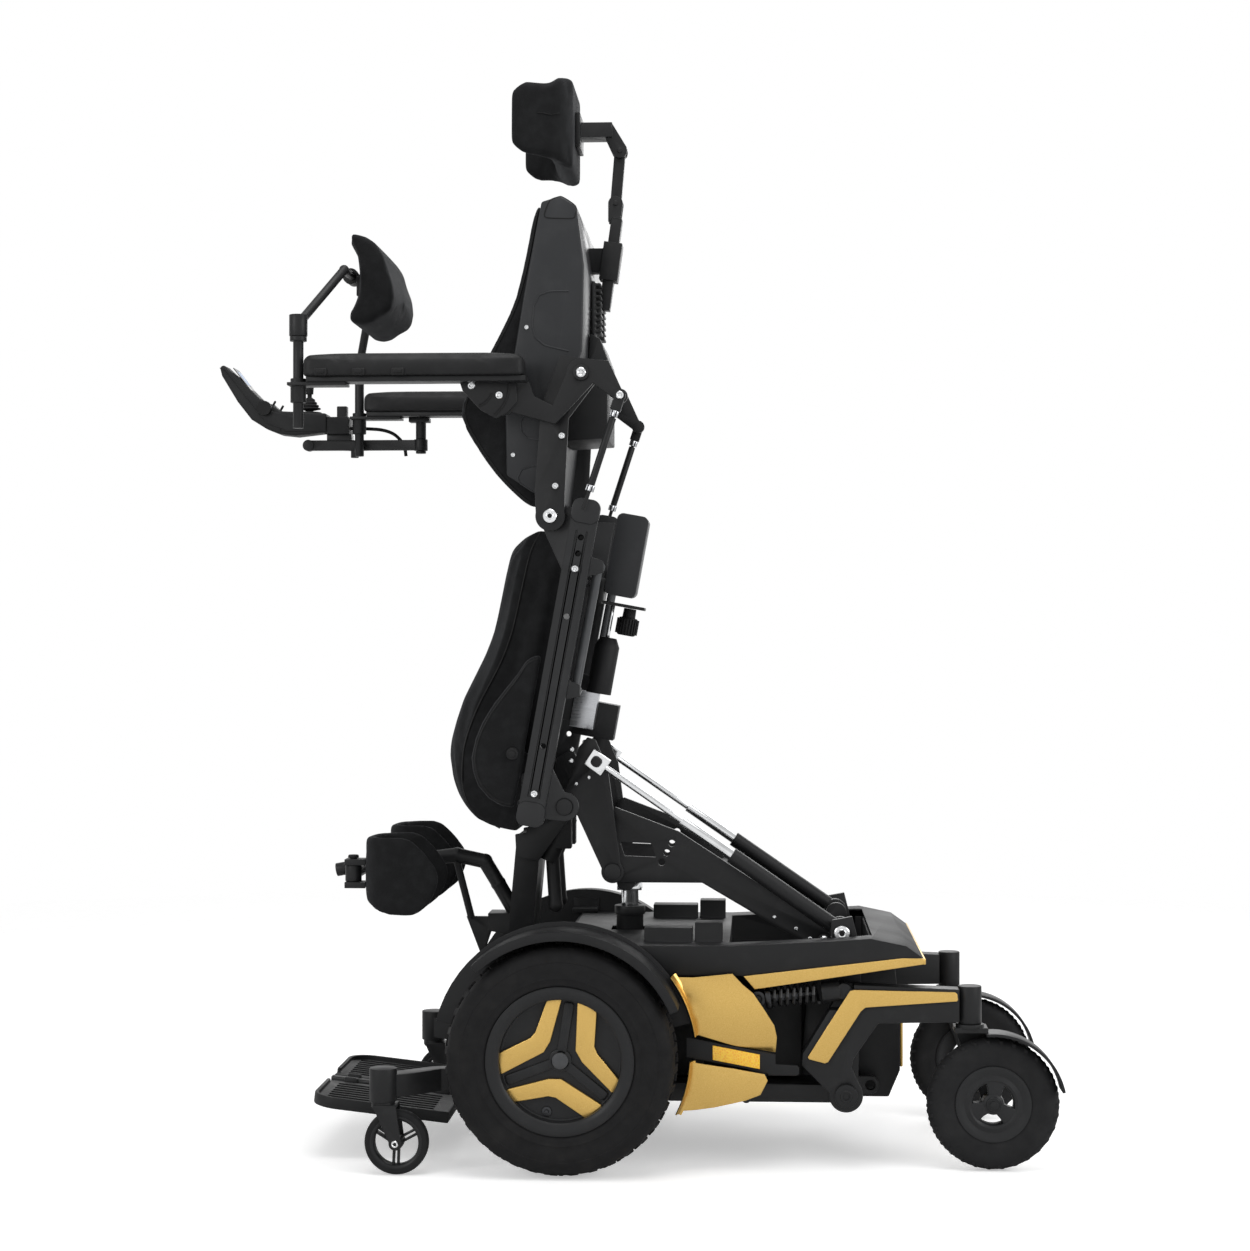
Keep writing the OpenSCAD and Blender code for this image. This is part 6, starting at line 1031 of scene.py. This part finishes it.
def joystick_lead():
    """Thin lead that leaves the back of the joystick box and goes back into its swing arm."""
    route = [(-478.45, 300, 1188), (-462.5, 300, 1188), (-442.5, 300, 1187), (-427.5, 302, 1186), (-413.5, 305, 1183),
             (-402.5, 309, 1178), (-394.5, 313, 1171), (-388.5, 315, 1163), (-384.5, 316, 1153), (-382.5, 316, 1140)]
    points = [Vector(p) * MM for p in route]
    points = [points[0]] + points + [points[-1]]
    places = []
    for before, start, end, after in zip(points, points[1:], points[2:], points[3:]):
        for t in (0, 1 / 3, 2 / 3):
            places.append(0.5 * (2 * start + (end - before) * t + (2 * before - 5 * start + 4 * end - after) * t * t
                                 + (3 * start - before - 3 * end + after) * t ** 3))
    places.append(points[-1])
    curve = bpy.data.curves.new("joystick_lead_wire", "CURVE")
    curve.dimensions, curve.bevel_depth, curve.bevel_resolution, curve.use_fill_caps = "3D", 3 * MM, 4, True
    spline = curve.splines.new("POLY")
    spline.points.add(len(places) - 1)
    for point, at in zip(spline.points, places):
        point.co = (*at, 1)
    curve.materials.append(FINISH["soft_black"])
    lead = bpy.data.objects.new("joystick_lead_wire", curve)
    bpy.context.scene.collection.objects.link(lead)
    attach(lead, "stick_swing")
    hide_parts("joystick_lead")


# --- Stage: floor, world and lamps ---
def stage():
    floor = bmesh.new()
    bmesh.ops.create_grid(floor, x_segments=1, y_segments=1, size=9)
    mesh = bpy.data.meshes.new("floor")
    floor.to_mesh(mesh)
    floor.free()
    ground = bpy.data.objects.new("floor", mesh)
    ground.location.z = -0.0005
    bpy.context.scene.collection.objects.link(ground)
    f = Finish("pale floor", (0.9, 0.9, 0.9), 0.6, 0.0, Specular_IOR_Level=0.2)
    f.vary_roughness(f.noise(3), 0.5, 0.7)
    tree, out = f.tree, f.tree.nodes["Material Output"]
    rays = f.node("ShaderNodeLightPath")
    lit = f.node("ShaderNodeEmission", {"Strength": 0.42})
    glow = f.node("ShaderNodeAddShader")
    tree.links.new(f.shader.outputs[0], glow.inputs[0])
    tree.links.new(lit.outputs[0], glow.inputs[1])
    seen = f.node("ShaderNodeMixShader", {0: rays.outputs["Is Camera Ray"]})
    tree.links.new(f.shader.outputs[0], seen.inputs[1])
    tree.links.new(glow.outputs[0], seen.inputs[2])
    far = f.node("ShaderNodeVectorMath", {0: f.place}, operation="LENGTH").outputs["Value"]
    fade = f.node("ShaderNodeMixShader", {0: f.spread(far, 0, 1, 1.2, 4.0)})
    clear = f.node("ShaderNodeBsdfTransparent")
    tree.links.new(seen.outputs[0], fade.inputs[1])
    tree.links.new(clear.outputs[0], fade.inputs[2])
    tree.links.new(fade.outputs[0], out.inputs["Surface"])
    mesh.materials.append(f.material)

    world = bpy.data.worlds.new("studio")
    bpy.context.scene.world = world
    world.use_nodes = True
    nodes, links = world.node_tree.nodes, world.node_tree.links
    backdrop = nodes["Background"]
    backdrop.inputs["Color"].default_value = (1, 1, 1, 1)
    rays = nodes.new("ShaderNodeLightPath")
    white = nodes.new("ShaderNodeMath")
    white.operation = "MAXIMUM"
    level = nodes.new("ShaderNodeMapRange")
    level.inputs["To Min"].default_value = 0.6
    level.inputs["To Max"].default_value = 1.0
    links.new(rays.outputs["Is Camera Ray"], white.inputs[0])
    links.new(rays.outputs["Is Transmission Ray"], white.inputs[1])
    mirror = nodes.new("ShaderNodeMath")
    mirror.operation = "MAXIMUM"
    links.new(white.outputs[0], mirror.inputs[0])
    links.new(rays.outputs["Is Glossy Ray"], mirror.inputs[1])
    links.new(mirror.outputs[0], level.inputs["Value"])
    way = nodes.new("ShaderNodeTexCoord")
    parts = nodes.new("ShaderNodeSeparateXYZ")
    links.new(way.outputs["Generated"], parts.inputs[0])
    along = nodes.new("ShaderNodeMath")
    along.operation = "ABSOLUTE"
    links.new(parts.outputs["Y"], along.inputs[0])
    box = nodes.new("ShaderNodeMapRange")
    box.interpolation_type = "SMOOTHSTEP"
    for socket, value in (("From Min", 0.62), ("From Max", 0.98), ("To Min", 0.66), ("To Max", 1.0)):
        box.inputs[socket].default_value = value
    links.new(along.outputs[0], box.inputs["Value"])
    seen = nodes.new("ShaderNodeMix")
    links.new(white.outputs[0], seen.inputs["Factor"])
    links.new(box.outputs["Result"], seen.inputs["A"])
    seen.inputs["B"].default_value = 1.0
    total = nodes.new("ShaderNodeMath")
    total.operation = "MULTIPLY"
    links.new(level.outputs["Result"], total.inputs[0])
    links.new(seen.outputs["Result"], total.inputs[1])
    links.new(total.outputs[0], backdrop.inputs["Strength"])

    def lamp(name, at, size, watts, aim):
        light = bpy.data.lights.new(name, "AREA")
        light.shape, light.size, light.energy = "DISK", size, watts
        holder = bpy.data.objects.new(name, light)
        holder.location = at
        holder.rotation_euler = (Vector(aim) - Vector(at)).to_track_quat("-Z", "Y").to_euler()
        bpy.context.scene.collection.objects.link(holder)

    lamp("top lamp", (0.1, -0.6, 3.6), 2.4, 46, (0, 0, 0.6))
    lamp("front lamp", (-2.6, -2.4, 1.9), 1.8, 30, (0, 0, 0.9))
    lamp("rear lamp", (2.9, -1.6, 1.7), 1.8, 36, (0, 0, 0.8))
    lamp("far lamp", (0.6, 3.2, 2.4), 2.2, 30, (0, 0, 0.9))


photo_camera()
joystick_lead()
stage()
dress_all()
wheels()
panels()
shell()
cushions()
fasteners()
armrest_details()
joystick_details()
